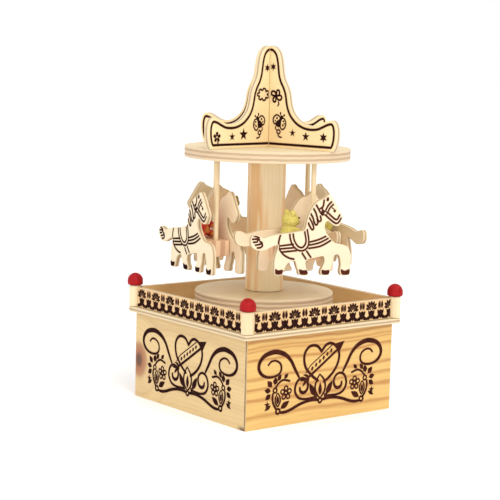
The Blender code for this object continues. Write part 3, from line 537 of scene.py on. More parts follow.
def cut_board(outline, thick, front=(), back=(), edge=0.18, holes=(), back_outline=None,
              bm=None, lift=0.0):
    """A board in its own plane, in millimetres: x and y across it, z through its thickness."""
    bm = bm or bmesh.new()
    uv_layer = bm.loops.layers.uv.get("wood") or bm.loops.layers.uv.new("wood")
    if bm.verts.layers.float.get("burn") is None:
        bm.verts.layers.float.new("burn")
    outline = counter_clockwise(outline)
    rear = counter_clockwise(back_outline or outline)
    high, low = lift + thick / 2, lift - thick / 2
    wide_holes = [grown_outline(hole, edge) for hole in holes]
    engraved_face(bm, grown_outline(outline, -edge), front, high, 1, wide_holes)
    engraved_face(bm, grown_outline(rear, -edge), back, low, -1, wide_holes)
    for near, far, way in [(outline, rear, 1)] + [(hole, hole, -1) for hole in holes]:
        rows = [
            ([(*p, high) for p in grown_outline(near, -edge * way)], 1.0),
            ([(*p, high - edge) for p in near], 1.0 - edge / thick),
            ([(*p, low + edge) for p in far], edge / thick),
            ([(*p, low) for p in grown_outline(far, -edge * way)], 0.0),
        ]
        rings = [([bm.verts.new(p) for p in row], share) for row, share in rows]
        run = 0.0
        for i, here in enumerate(near):
            j = (i + 1) % len(near)
            end = run + (Vector(near[j]) - Vector(here)).length
            for (upper, v_up), (lower, v_down) in zip(rings, rings[1:]):
                new = bm.faces.new([upper[i], lower[i], lower[j], upper[j]][::way])
                new.material_index = RIM
                places = [(run, v_up), (run, v_down), (end, v_down), (end, v_up)][::way]
                for loop, (u, v) in zip(new.loops, places):
                    loop[uv_layer].uv = (u * MM, v)
            run = end
    bmesh.ops.remove_doubles(bm, verts=bm.verts, dist=2e-4)
    return bm


def mesh_from(bm, name):
    mesh = bpy.data.meshes.new(name)
    bm.to_mesh(mesh)
    bm.free()
    return mesh


def in_scene(name, data):
    obj = bpy.data.objects.new(name, data)
    bpy.context.scene.collection.objects.link(obj)
    return obj


def worked(obj, *helpers):
    """The mesh that an object's modifiers make, with the object and its helpers cleared away."""
    graph = bpy.context.evaluated_depsgraph_get()
    made = bpy.data.meshes.new_from_object(obj.evaluated_get(graph))
    bm = bmesh.new()
    bm.from_mesh(made)
    bpy.data.meshes.remove(made)
    for used in (obj, *helpers):
        bpy.data.meshes.remove(used.data)
    return bm


def finish_piece(name, bm, looks, body, stands_for, place, angle=32):
    """Brings a piece from millimetres to its place in metres, gives it its finishes, ties it to
    its body and hides the parts it stands for.
    """
    bmesh.ops.transform(bm, matrix=place @ Matrix.Scale(MM, 4), verts=bm.verts)
    mesh = mesh_from(bm, name)
    mesh.shade_smooth()
    mesh.set_sharp_from_angle(angle=math.radians(angle))
    for look in looks:
        mesh.materials.append(finishes[look])
    obj = in_scene(name, mesh)
    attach(obj, body)
    if stands_for:
        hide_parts(*stands_for)


def turned_by(degrees, axis="Z"):
    return Matrix.Rotation(math.radians(degrees), 4, axis)


def at(x=0.0, y=0.0, z=0.0):
    """A place given in millimetres."""
    return Matrix.Translation((x * MM, y * MM, z * MM))


def upright(side, y, z=0.0):
    """Stands a board up on one of the four sides, its front facing out."""
    return turned_by(90 * side) @ at(0, y, z) @ turned_by(90, "X")


# --------------------------------------------------------- the ornament itself

def panel_ornament():
    """Scrolls, flowers and a pierced heart, on each side of the box."""
    half = [
        line([(-15.2, 24.5, 1.1), (-18, 29), (-21, 34, 1.6), (-25, 37.5, 2.0), (-30, 39.3, 2.2),
              (-34, 39.3, 2.2), (-38.5, 38, 2.0), (-41.5, 35, 1.8), (-42, 31.5, 1.6),
              (-40, 28.5), (-36.5, 26.8, 1.2), (-32.5, 26.5, 1.1), (-28.8, 27.5, 1.1),
              (-27.2, 30, 1.1), (-28, 33, 1.0), (-31, 34.8, 0.9), (-34, 34.6, 0.9),
              (-35.8, 33, 0.9)], 1.5),
        line([(-3.5, 12.8, 0.9), (-8, 12.4, 1.0), (-12, 12.5, 1.1), (-15.5, 13.8, 1.2),
              (-17.6, 17, 1.2), (-17.3, 20.5, 1.2), (-15.5, 23, 1.2), (-12.5, 23.8, 1.1),
              (-9.8, 22.3, 1.1), (-8.9, 19.5, 1.2), (-9.8, 16.9, 1.4), (-12, 15.9, 1.6),
              (-14, 16.9, 1.4), (-14.5, 18.8, 1.0)], 1.0),
        line([(-27.3, 7.2, 1.2), (-24, 7.1), (-20, 8), (-15, 9.8), (-10, 11.0), (-5, 11.3),
              (-1.5, 10.9)], 1.4),
        line([(-30, 9.3), (-31.8, 12), (-32.6, 15), (-32.4, 17.5)], 1.1),
        line([(-30.6, 20.8), (-28.5, 23), (-25.5, 24.2), (-21.5, 23.2)], 1.0),
        ring(-28.8, 8, 1.3, 1.0), ring(-31, 19.2, 1.2, 0.8), ring(-3.4, 12.9, 0.8, 0.6),
        leaf(-3.8, 13.2, -7.9, 20.3, 2.8), leaf(-27, 9.3, -21.5, 12.6, 2.6),
        leaf(-33.2, 21.4, -36, 24.6, 2.5), leaf(-31.2, 22.2, -30.6, 26.2, 2.5),
        leaf(-34, 19.2, -37.8, 20.0, 2.3), leaf(-34, 17.4, -37.2, 15.0, 2.3),
        leaf(-29.3, 24.2, -27.2, 27.2, 2.0), leaf(-25, 25.0, -22.6, 27.2, 1.8),
        star(-36, 12.2, 1.9), leaf(-33.8, 11.6, -37.4, 9.4, 1.6),
        line([(-29, 10.6, 0.8), (-30.7, 13.2), (-30.4, 15.6), (-29.2, 17.6, 0.6),
              (-27.8, 15.6), (-27.4, 13.2)], 0.8, True),
        leaf(-29, 11.8, -29.2, 16.0, 1.6),
        ring(-23.7, 17.2, 0.9, 0.7),
    ]
    half += [ring(x, y, 1.15, 0.7) for x, y in around(5, 2.45, -23.7, 17.2, 90)]
    heart = [
        line([(-0.2, 36.6), (-2.5, 39.3), (-5.5, 40.4), (-9, 39.8), (-11.5, 37), (-12, 33.5),
              (-11, 29.5), (-8.5, 26.3), (-5, 23.2), (-2.2, 21.3)], 1.3),
        line([(-0.2, 36.6), (2.5, 39.6), (5.5, 40.5), (8.5, 39.5), (11, 37), (12.2, 33.5),
              (11.2, 29), (8.5, 25), (5, 22), (2, 20.3)], 1.3),
        line([(-9.5, 23.2), (11.2, 36.8)], 1.2),
        line([(-7.6, 29.8), (7.4, 39.6)], 0.5), line([(-10.6, 26.2), (-7.6, 29.8)], 0.5),
        solid([(15.6, 40.8), (8.9, 39.8), (12.4, 35.4)], False),
        leaf(-9.2, 23.4, -14.4, 22.4, 1.5), leaf(-9.6, 22.9, -12.6, 19.4, 1.5),
        leaf(-8.2, 24.2, -12.2, 25.4, 1.2), leaf(-8.4, 23.6, -9.8, 19.6, 1.2),
    ]
    for step in range(6):
        x, y = -6.3 + 2.55 * step, 28.2 + 1.66 * step
        heart.append(solid([(x - 0.9, y - 0.6), (x + 0.15, y - 1.1), (x + 0.9, y + 0.6),
                            (x - 0.15, y + 1.1)], False))
    middle = [
        line([(-0.5, 11.8, 0.7), (-3, 14.5), (-4, 18), (-3, 21.5), (-1, 24.6, 0.6)], 1.0),
        line([(-0.5, 11.8, 0.7), (2.2, 14.5), (3, 18), (2, 21.5), (-1, 24.6, 0.6)], 1.0),
        leaf(-0.5, 13.4, -0.5, 20.0, 2.0), ring(-0.4, 10.5, 1.2, 0.9),
    ]
    return bolder(half + flipped(half) + heart + middle, PANEL_BOLDNESS)


def fence_ornament(start):
    """A row of fans and bars over joined bowls, repeated along the fence from this place."""
    petal = ((0.2, 0.3), (0.5, 0.85), (0.8, 1.5), (1.0, 0.7))
    bowl_line = ((2.75, 4.8, 0.9), (2.5, 2.9, 1.5), (1.4, 1.3, 2.0))
    marks = []
    for k in range(-4, 5):
        fan = start + k * FENCE_REPEAT
        bars = fan + FENCE_REPEAT / 2
        if abs(fan) < FENCE_LONG / 2 + 3:
            for degrees in (-82, -54, -27, 0, 27, 54, 82):
                a = math.radians(degrees)
                reach = 3.6 if abs(degrees) > 60 else 4.2
                marks.append(line([(fan + share * reach * math.sin(a),
                                    6.0 + share * reach * math.cos(a), width)
                                   for share, width in petal]))
            marks += [dot(fan - 0.8, 5.9, 0.4, 8), dot(fan + 0.8, 5.9, 0.4, 8)]
        if abs(bars) < FENCE_LONG / 2 + 2:
            marks += [leaf(x, 6.0, x, 10.1, 1.35) for x in (bars - 1.05, bars + 1.05)]
            marks.append(line([(bars, 6.4), (bars, 9.8)], 0.4))
        for post in (fan, bars):
            if abs(post) < FENCE_LONG / 2 + 3:
                marks.append(leaf(post, 0.6, post, 5.6, 2.2))
                marks += [leaf(post + 0.5 * side, 2.0, post + 2.1 * side, 5.5, 1.6)
                          for side in (-1, 1)]
        for bowl in (fan + FENCE_REPEAT / 4, bars + FENCE_REPEAT / 4):
            if abs(bowl) < FENCE_LONG / 2 + 3:
                left = [(bowl - x, y, width) for x, y, width in bowl_line]
                right = [(bowl + x, y, width) for x, y, width in bowl_line[::-1]]
                marks.append(line([*left, (bowl, 0.85, 1.8), *right]))
    return marks


def horse_outline():
    """Nose to the right; x from the station's middle, before the whole is tipped and shifted."""
    drawn = [
        (-17.8, 93.3), (-17.5, 91.5), (-18.5, 88.5), (-19.3, 85), (-19.3, 82), (-19.4, 78.6),
        (-18.4, 77.5), (-14.9, 77.4), (-14.0, 78.8), (-13, 81.5), (-11.5, 83.5), (-9, 84.5),
        (-7.3, 84.4), (-6.6, 82.8), (-6, 81), (-5.1, 79), (-4.8, 77.6), (-3.6, 76.7),
        (0, 76.5), (1, 77.8), (0, 79.5), (-0.8, 81.5), (-0.9, 83.6), (0.6, 85), (3, 85.4),
        (7, 86), (9.6, 86.2), (10.4, 84.8), (10.3, 82.5), (9.3, 80.5), (8.3, 78.5),
        (8.5, 76.7), (9.6, 76.1), (13.1, 76.1), (14, 77.4), (14, 78.8), (14.8, 80.5),
        (15.4, 83), (15.9, 85.6), (17.4, 86.9), (19.2, 86.2), (20, 84), (20.5, 81),
        (20, 78.5), (20.3, 76.4), (21.6, 75.4), (25.4, 75.4), (26.4, 76.8), (26.3, 80),
        (26.5, 85), (25.6, 88.6), (23.6, 91.1), (19.5, 92.3), (16.5, 93), (14, 95),
        (12.3, 97), (10.8, 99), (10, 101.3), (10.4, 103.8), (12, 104.6), (14.5, 102.8),
        (17, 101.8), (18.7, 102.2), (20.2, 104.5), (20.8, 106.5), (20, 108), (18, 111),
        (16.2, 114), (14.5, 116.5), (12.7, 118.3), (11.2, 117.9), (9.5, 116.5), (6, 115.3),
        (3.5, 113.3), (1, 109.5), (-0.5, 105.5), (-1.1, 101.9), (-2.4, 100.1), (-5, 99.8),
        (-10, 99.2), (-15, 98.9), (-20, 98.4), (-24, 97.5), (-26.5, 97.1), (-28.5, 98.1),
        (-31, 98.9), (-32.6, 98.3), (-33.3, 96.7), (-33.2, 94.3), (-32.3, 92.3), (-30, 91.0),
        (-27, 90.5), (-24.6, 91.0), (-22, 92.0),
    ]
    tip, shift, floor = 0.047, 9.3, 76.5
    points = [(x - shift, z + tip * x - floor) for x, z in drawn]
    return [(p[0], p[1]) for p in curve_through(points, 0.0, True, 2)]


def horse_ornament():
    """Mane, bridle, saddle, straps, tail and hooves, by the width of their lines."""
    strokes = {
        1.0: (
            [(-5.2, 37.4), (-3.6, 35.0), (-2.2, 33.0), (-0.8, 31.8)],
            [(-6.8, 35.4), (-5.2, 33.2), (-4.2, 30.6), (-3.1, 28.5), (-1.8, 29.1), (-2.2, 31.2)],
            [(-8.2, 32.5), (-6.7, 30.3), (-5.9, 28.0), (-4.7, 26.5), (-3.7, 27.7), (-4.2, 29.7)],
            [(-9.4, 27.5), (-8.3, 25.6), (-7.0, 24.1), (-6.1, 24.8), (-6.5, 26.8)],
        ),
        0.95: (
            [(-0.3, 39.9), (-0.5, 37.3), (-1.3, 35.0)],
            [(1.9, 33.3), (7.3, 29.5), (9.4, 31.9)],
            [(0.7, 31.8), (7.4, 27.5), (10.3, 30.3)],
            [(0.9, 34.2), (2.3, 36.8), (4.2, 38.7)],
            [(-41.3, 20.4), (-38.2, 19.8), (-39.2, 18.9), (-41.9, 18.7)],
            [(-41.2, 17.2), (-39.3, 17.3), (-38.8, 18.2), (-37.9, 18.5)],
            [(-40.0, 15.7), (-37.8, 16.1), (-36.2, 16.7), (-37.6, 17.6)],
            [(-38.9, 14.3), (-37.2, 14.5), (-36.1, 15.4), (-36.4, 16.4)],
        ),
        0.92: (
            [(-25.6, 21.3), (-26.6, 17.3), (-26.1, 13.9), (-23.7, 11.0), (-20.3, 9.2),
             (-17.4, 8.6)],
            [(-26.2, 15.3), (-17.9, 16.3)],
            [(-25.9, 13.9), (-16.9, 14.6)],
            [(-24.9, 12.2), (-15.8, 13.1)],
            [(-20.2, 22.1), (-19.8, 19.1), (-18.2, 15.7), (-15.5, 13.5), (-12.5, 13.0),
             (-9.9, 14.3), (-8.7, 17.5), (-9.9, 24.0)],
            [(-18.3, 22.1), (-17.5, 18.6), (-15.6, 15.7), (-13.2, 14.6), (-11.3, 15.7),
             (-10.4, 18.3), (-11.4, 23.0)],
            [(-7.9, 17.6), (-3.1, 18.8), (1.4, 20.6)],
            [(-8.3, 16.0), (-2.3, 17.3), (2.8, 19.6)],
            [(-8.6, 14.3), (-1.6, 15.5), (4.4, 18.5)],
            [(-12.5, 11.7), (-10.2, 8.7)],
            [(-9.9, 12.8), (-7.3, 9.6)],
        ),
        0.9: (
            [(-8.8, 30.2), (-7.4, 28.2), (-6.5, 26.2)],
            [(2.3, 33.8), (3.5, 35.8), (5.3, 37.4)],
        ),
        0.8: ([(-1.0, 36.2), (-3.0, 34.7)],),
        0.6: ([(4.7, 35.7), (5.8, 35.0)],),
    }
    patches = (
        [(1.2, 39.4), (2.2, 39.1), (2.7, 40.2), (2.1, 41.2), (1.3, 40.7)],
        [(-28.3, 3.4), (-26.4, 2.7), (-23.9, 3.0), (-23.8, 1.7), (-24.6, 0.6), (-27.4, 0.5),
         (-28.3, 1.4)],
        [(-14.0, 3.2), (-11.5, 2.7), (-8.8, 2.9), (-8.8, 1.5), (-9.6, 0.45), (-12.8, 0.45),
         (-13.7, 1.2)],
        [(-0.7, 3.1), (1.6, 2.7), (4.1, 2.9), (4.2, 1.6), (3.5, 0.55), (0.6, 0.45), (-0.4, 1.1)],
        [(11.2, 3.4), (13.6, 2.5), (16.5, 3.4), (16.6, 1.6), (15.8, 0.5), (12.6, 0.4),
         (11.5, 1.2)],
    )
    marks = [line(points, width) for width, group in strokes.items() for points in group]
    marks += [solid(points) for points in patches]
    return marks + [dot(6.3, 34.1, 0.75), dot(-0.7, 33.6, 1.1), ring(0.7, 32.7, 1.0, 0.6)]


def crown_inner_line():
    """Half of the burnt border of a crown board, from its foot to the middle of the top."""
    points = [(45.2, 142.9), (46.3, 146), (46.7, 150), (46.3, 153), (45, 155), (42, 154.5),
              (39, 153.2), (35.5, 151.9), (31, 151.5), (26.5, 152), (22, 153.7), (18.8, 156),
              (16.3, 158.7), (14.7, 161.8), (13.7, 165.3), (12.9, 169.3), (11.4, 172.7),
              (9.5, 175.7), (8.2, 179), (7.5, 183), (6.8, 187), (5.6, 190.3), (3.6, 192.3),
              (1.9, 192.8)]
    return [(p[0], p[1]) for p in curve_through(points, 0.0, False, 3)]


def crown_outline(slot_up):
    """A crown board round its burnt border, with the slot that takes the other board."""
    border = crown_inner_line()
    closed = border + [(-x, z) for x, z in reversed(border)]
    wide = grown_outline([(p[0], p[1] - CROWN_LOW) for p in closed], 2.05)
    half = wide[:len(border)]
    half = [(min(x, 49.0), min(max(z, 0.05), 53.9)) for x, z in half]
    half[0] = (46.3, 0.0)
    half = [(46.3, 0.0), (47.3, 1.4)] + [p for p in half[1:] if p[1] > 2.4]
    slot = CROWN_THICK / 2 + GAP
    middle = CROWN_HIGH / 2
    if slot_up:
        half = [p for p in half if p[0] > slot + 0.3]
        rise = half[-1][1] + 0.1
        right = half + [(slot, rise), (slot, middle)]
        return right + [(-x, z) for x, z in reversed(right)]
    half = [p for p in half if p[0] > 0.5]
    right = [(slot, middle), (slot, 0.0)] + half
    return right + [(-x, z) for x, z in reversed(right)]


def ladybird(side):
    """A ladybird with its wings spread, its head up and outwards, over a curl."""
    drawn = [
        line([(10.9, 16.6), (9.9, 17.6), (9.8, 18.5)], 0.6), dot(9.8, 18.5, 0.55, 8),
        line([(10.9, 16.6), (12.0, 17.0), (12.5, 17.5)], 0.6), dot(12.5, 17.5, 0.55, 8),
        dot(10.6, 16.2, 1.1), line([(10.4, 16.0), (8.9, 13.4)], 1.5),
        solid([(9.9, 14.9), (10.3, 12.2), (8.9, 10.9), (7.6, 11.3), (6.1, 12.6), (8.0, 14.6)]),
        line([(10.7, 15.4), (12.4, 15.6), (13.5, 13.9), (13.4, 11.6), (12.0, 10.0), (10.4, 10.2),
              (9.7, 12.4)], 0.75, True),
        line([(9.6, 15.6), (8.6, 17.1), (6.6, 17.3), (5.0, 15.9), (4.8, 14.0), (6.0, 12.6),
              (8.0, 13.4)], 0.75, True),
        dot(12.0, 14.2, 0.55, 8), dot(11.6, 12.0, 0.55, 8), dot(7.4, 15.7, 0.6, 8),
        dot(6.2, 14.3, 0.5, 8), dot(12.6, 12.9, 0.4, 8),
        line([(6.8, 11.4), (6.5, 10.3), (7.2, 9.3)], 0.6), ring(8.7, 8.5, 1.1, 0.75),
        line([(8.5, 7.4), (8.5, 6.6), (9.4, 5.8), (10.8, 5.6)], 0.7),
    ]
    return drawn if side > 0 else [
        (kind, [(-p[0], p[1] - 0.7, *p[2:]) for p in points], closed)
        for kind, points, closed in drawn]


def crown_ornament():
    """The border, stars, a cloud, a clover, a flower and two ladybirds."""
    border = [(x, z - CROWN_LOW) for x, z in crown_inner_line()]
    marks = [line([(1.9, 1.9), *border], 1.2, False, 1)]
    marks += flipped(marks)
    marks += [
        star(-3.6, 42.2, 2.0, 6, 0.5), star(3.8, 42.9, 1.9, 6, 0.5),
        star(-21.4, 7.1, 3.2), star(-30.3, 6.1, 2.1), star(18.5, 8.3, 1.9),
        star(27.7, 6.9, 2.4), star(39.7, 7.0, 2.5, 6, 0.5),
        ring(-42, 6.2, 0.9, 0.7), line([(-41.4, 3.8), (-40.8, 1.8)], 0.7),
        line([(8.0, 24.3), (8.4, 23.3), (7.7, 22.3)], 0.7),
    ]
    marks += [dot(x, z, 0.95, 8) for x, z in around(5, 1.85, -42, 6.2, 90)]
    cloud = []
    for k in range(7):
        for share, reach in ((0.0, 0.72), (0.28, 1.0), (0.72, 1.0)):
            a = 2 * math.pi * (k + share) / 7
            cloud.append((-6.5 + 4.5 * reach * math.cos(a), 28.1 + 3.1 * reach * math.sin(a)))
    clover = []
    middle = Vector((6.4, 27.3))
    for lobe in ((4.2, 28.9), (7.7, 29.5), (9.1, 26.6), (5.2, 25.3)):
        lobe = Vector(lobe)
        away = lobe - middle
        side = Vector((-away.y, away.x)) * 0.62
        clover += [middle + (away - side * 1.5) * 0.32, lobe - 0.75 * side, lobe + 0.42 * away,
                   lobe + 0.75 * side]
    marks += [line(cloud, 0.9, True, 3), line(clover[::-1], 1.0, True, 3)]
    return marks + ladybird(-1) + ladybird(1)


# ----------------------------------------------------------------- finishes made

FRONT_STREAKS = (
    (0.0, 0.2), (0.10, 0.1), (0.14, 0.9), (0.17, 0.15), (0.28, 0.1), (0.325, 1.0), (0.35, 0.1),
    (0.41, 0.15), (0.445, 0.95), (0.475, 0.1), (0.54, 0.1), (0.57, 0.9), (0.60, 0.1),
    (0.73, 0.1), (0.765, 1.0), (0.79, 0.2), (0.835, 0.2), (0.86, 0.8), (0.875, 0.2),
    (0.895, 0.9), (0.92, 0.1), (0.94, 0.2), (0.96, 0.9), (1.0, 0.2),
)
SIDE_STREAKS = (
    (0.0, 0.3), (0.15, 0.0), (0.22, 0.5), (0.30, 0.1), (0.48, 0.0), (0.56, 0.6), (0.62, 0.1),
    (0.80, 0.0), (0.88, 0.6), (0.94, 0.1), (1.0, 0.4),
)
finishes = {
    "pine_front": pine("pine_front_grain", (0.76, 0.49, 0.155), (0.42, 0.165, 0.03),
                       FRONT_STREAKS, 0.80, seed=1.3),
    "pine_left": pine("pine_left_grain", (0.72, 0.52, 0.245), (0.38, 0.20, 0.07), SIDE_STREAKS,
                      0.35, (-0.0465, 0.0205, 0.0082), seed=4.1),
    "pine_side": pine("pine_side_grain", (0.65, 0.48, 0.24), (0.38, 0.20, 0.07), SIDE_STREAKS,
                      0.35, seed=7.7),
    "pine_end": ply_edge("pine_mitre", (0.70, 0.50, 0.26), (0.42, 0.22, 0.10), 1, 0.8),
    "birch": birch("birch_face", (0.76, 0.63, 0.40), (0.60, 0.41, 0.20), 0.4, 2.2),
    "birch_pale": birch("birch_horse_face", (0.80, 0.68, 0.47), (0.62, 0.46, 0.27), 0.30, 5.1),
    "birch_inner": birch("birch_inner_face", (0.86, 0.69, 0.47), (0.76, 0.51, 0.32), 0.4, 8.4),
    "birch_crown": birch("birch_crown_face", (0.88, 0.69, 0.38), (0.74, 0.49, 0.21), 0.35, 3.6),
    "birch_fence": birch("birch_fence_face", (0.78, 0.53, 0.25), (0.54, 0.28, 0.10), 0.55, 6.6),
    "ply3": ply_edge("plywood_edge_thin", (0.74, 0.60, 0.38), (0.34, 0.20, 0.10), 3, 0.9),
    "ply5": ply_edge("plywood_edge_thick", (0.72, 0.56, 0.36), (0.36, 0.21, 0.12), 5, 0.8),
    "char_front": burnt("burnt_red_brown", (0.016, 0.004, 0.003), (0.085, 0.020, 0.011)),
    "char": burnt("burnt_dark", (0.009, 0.003, 0.003), (0.038, 0.011, 0.008)),
    "char_horse": burnt("burnt_horse", (0.026, 0.005, 0.005), (0.13, 0.030, 0.016)),
    "dowel": turned_wood("dowel_wood", (0.82, 0.67, 0.42), (0.64, 0.40, 0.18), 1.0, 0.4, 0.2),
    "column": turned_wood("column_wood", (0.93, 0.77, 0.50), (0.80, 0.41, 0.12), 0.8, 0.72, 0.031),
    "red": red_lacquer("red_lacquer"),
    "seat_side": birch("seat_face", (0.74, 0.47, 0.26), (0.52, 0.28, 0.13), 0.5, 9.3),
    "seat_end": ply_edge("seat_end_plies", (0.80, 0.55, 0.34), (0.46, 0.23, 0.13), 5, 0.9),
    "rider_front": flocked("mustard_crumb", (0.72, 0.60, 0.16), (0.42, 0.32, 0.05)),
    "rider_right": flocked("olive_crumb", (0.62, 0.50, 0.11), (0.36, 0.30, 0.05)),
    "rider_back": flocked("amber_crumb", (0.60, 0.40, 0.08), (0.34, 0.20, 0.03),
                          (0.42, 0.38, 0.10)),
    "rider_left": flocked("red_crumb", (0.66, 0.05, 0.03), (0.35, 0.02, 0.02),
                          (0.75, 0.30, 0.06)),
    "eye": worked_metal("black_bead", (0.02, 0.02, 0.02), 0.3),
    "steel": worked_metal("bright_steel", (0.60, 0.61, 0.62), 0.3),
    "brass": worked_metal("cut_brass", (0.80, 0.58, 0.24), 0.28),
    "zinc": worked_metal("cast_zinc", (0.48, 0.48, 0.50), 0.45),
}


# ------------------------------------------------------------------- the pieces

def make_box():
    marks = panel_ornament()
    front = BOX_HALF - CORNER_GAP
    split = BOX_HALF - PANEL_LEDGE
    inside = BOX_HALF - PANEL_THICK

    def upright_sheet(half, low):
        return [(-half, low), (half, low), (half, PANEL_HIGH), (-half, PANEL_HIGH)]

    for side, name in enumerate(SIDES):
        across = side % 2 == 0
        look = "pine_front" if across else ("pine_left" if name == "left" else "pine_side")
        bm = cut_board(upright_sheet(front, 0), PANEL_LEDGE, marks, edge=0.12,
                       back_outline=upright_sheet(split, 0), lift=PANEL_LEDGE / 2)
        cut_board(upright_sheet(split, BASE_TOP), PANEL_LEDGE, edge=0.05,
                  back_outline=upright_sheet(inside, BASE_TOP), bm=bm, lift=-PANEL_LEDGE / 2)
        char = "char_front" if across else "char"
        finish_piece("box_side_" + name, bm, (look, "pine_end", char), "box",
                     ["panel_" + name],
                     upright(side, PANEL_LEDGE - BOX_HALF))


def make_platform():
    """The platform, its sawn edge slightly rough all round."""
    r, corner = PLATFORM_CORNER, PLATFORM_HALF - PLATFORM_CORNER
    outline = []
    for cx, cy, start in ((1, -1, -90), (1, 1, 0), (-1, 1, 90), (-1, -1, 180)):
        outline += around(16, r, cx * corner, cy * corner, start)[:5]
    rough = []
    for p, q in zip(outline, outline[1:] + outline[:1]):
        p, q = Vector(p), Vector(q)
        steps = max(1, int((q - p).length / 1.2))
        for step in range(steps):
            place = p.lerp(q, step / steps)
            dent = 0.09 * noise.noise(Vector((place.x * 0.9, place.y * 0.9, 3.0)))
            rough.append(tuple(place - place.normalized() * (0.10 + dent)))
    bm = cut_board(rough, PLATFORM_THICK, edge=0.22, holes=[around(32, ARBOR_HOLE)],
                   lift=PLATFORM_LOW + PLATFORM_THICK / 2)
    finish_piece("platform_board", bm, ("birch", "ply3", "char"), "box",
                 ["platform"], Matrix())


def make_fences():
    half = FENCE_LONG / 2
    outline = [(-half, 0), (half, 0), (half, FENCE_HIGH), (-half, FENCE_HIGH)]
    for side, name in enumerate(SIDES):
        marks = fence_ornament(FENCE_STARTS[side % 2])
        bm = cut_board(outline, FENCE_THICK, marks, edge=0.15)
        finish_piece("fence_board_" + name, bm, ("birch_fence", "ply3", "char"), "box",
                     ["fence_" + name],
                     upright(side, FENCE_SET_BACK - POST_PLACE, POST_LOW))


def spun(profile, steps=48):
    """A turned piece from its (radius, height) profile in millimetres, axis at both ends."""
    bm = bmesh.new()
    points = [bm.verts.new((r, 0, z)) for r, z in profile]
    edges = [bm.edges.new(pair) for pair in zip(points, points[1:])]
    bmesh.ops.spin(bm, geom=points + edges, cent=(0, 0, 0), axis=(0, 0, 1),
                   angle=2 * math.pi, steps=steps, use_merge=True)
    bmesh.ops.remove_doubles(bm, verts=bm.verts, dist=1e-4)
    bmesh.ops.recalc_face_normals(bm, faces=bm.faces)
    return bm


def rounded_rod(radius, low, high, ease, steps=40, rings=6):
    """A dowel with eased ends."""
    profile = [(0, low), (radius - ease, low), (radius - 0.3 * ease, low + 0.3 * ease),
               (radius, low + ease)]
    profile += [(radius, low + ease + (high - low - 2 * ease) * k / rings)
                for k in range(1, rings)]
    profile += [(radius, high - ease), (radius - 0.3 * ease, high - 0.3 * ease),
                (radius - ease, high), (0, high)]
    return spun(profile, steps)


def make_posts():
    cap = [(0, 62.4), (3.7, 62.4), (4.1, 62.5), (4.28, 62.9), (CAP_RADIUS, 63.6)]
    cap += around(36, CAP_RADIUS, 0, CAP_MIDDLE)[:9]
    cap.append((0, CAP_MIDDLE + CAP_RADIUS))
    for side, corner in enumerate(CORNERS):
        place = turned_by(90 * side) @ at(-POST_PLACE, -POST_PLACE)
        finish_piece("dowel_post_" + corner, rounded_rod(POST_RADIUS, POST_LOW, POST_HIGH, 0.2),
                     ("dowel",), "box", ["post_" + corner], place)
        bm = spun(cap)
        for vert in bm.verts:
            bump = noise.noise(vert.co * 0.55 + Vector((9.0 * side, 0, 0)))
            flat = Vector((vert.co.x, vert.co.y, 0))
            if flat.length > 0.1:
                vert.co -= flat.normalized() * (0.08 + 0.10 * bump)
        finish_piece("ball_cap_" + corner, bm, ("red",), "box", ["cap_" + corner],
                     place, angle=60)


def make_discs():
    """The turntable, the column and the canopy, which is two sheets glued together."""
    bm = cut_board(around(120, TURNTABLE_RADIUS), TURNTABLE_THICK, edge=0.45,
                   lift=TURNTABLE_LOW + TURNTABLE_THICK / 2)
    finish_piece("turntable_disc", bm, ("birch", "ply5", "char"), "carousel",
                 ["turntable"], turned_by(20))
    sockets = []
    for name in SIDES:
        x, y = around(1, POLE_CIRCLE, start=POLE_ANGLES[name])[0]
        sockets.append(around(20, SOCKET_RADIUS, x, y))
    joint = CANOPY_LOW + CANOPY_SHEET
    outline = around(144, CANOPY_RADIUS)
    bm = cut_board(outline, CANOPY_SHEET, edge=0.2, holes=sockets, lift=joint - CANOPY_SHEET / 2)
    cut_board(outline, CANOPY_SHEET, edge=0.2, bm=bm, lift=joint + CANOPY_SHEET / 2)
    uv_layer = bm.loops.layers.uv["wood"]
    for face in bm.faces:
        if face.material_index == RIM:
            upper = 0.5 if face.calc_center_median().z > joint else 0.0
            for loop in face.loops:
                u, v = loop[uv_layer].uv
                loop[uv_layer].uv = (u, 0.5 * v + upper)
    finish_piece("canopy_board", bm, ("birch", "ply5", "char"), "carousel",
                 ["canopy_disc"], Matrix())
    finish_piece("turned_column", rounded_rod(COLUMN_RADIUS, COLUMN_LOW, COLUMN_HIGH, 0.35, 64),
                 ("column",), "carousel", ["column"], Matrix())


def soft_body(parts, voxel, smooth, rough, seed):
    """Rounded lumps joined into one skin, eased and then made crumbly."""
    bm = bmesh.new()
    for centre, radii, tilt in parts:
        place = Matrix.Translation(Vector(centre)) @ turned_by(tilt, "Y") @ Matrix.Diagonal(
            (*radii, 1.0))
        bmesh.ops.create_icosphere(bm, subdivisions=3, radius=1.0, matrix=place)
    obj = in_scene("lumps", mesh_from(bm, "lumps"))
    joined = obj.modifiers.new("joined", "REMESH")
    joined.mode = "VOXEL"
    joined.voxel_size = voxel
    eased = obj.modifiers.new("eased", "SMOOTH")
    eased.iterations = smooth
    eased.factor = 0.6
    out = worked(obj)
    out.normal_update()
    shift = Vector((seed, 2 * seed, 0))
    for vert in out.verts:
        vert.co += vert.normal * rough * noise.fractal(vert.co * 1.7 + shift, 0.8, 2.0, 3)
    return out


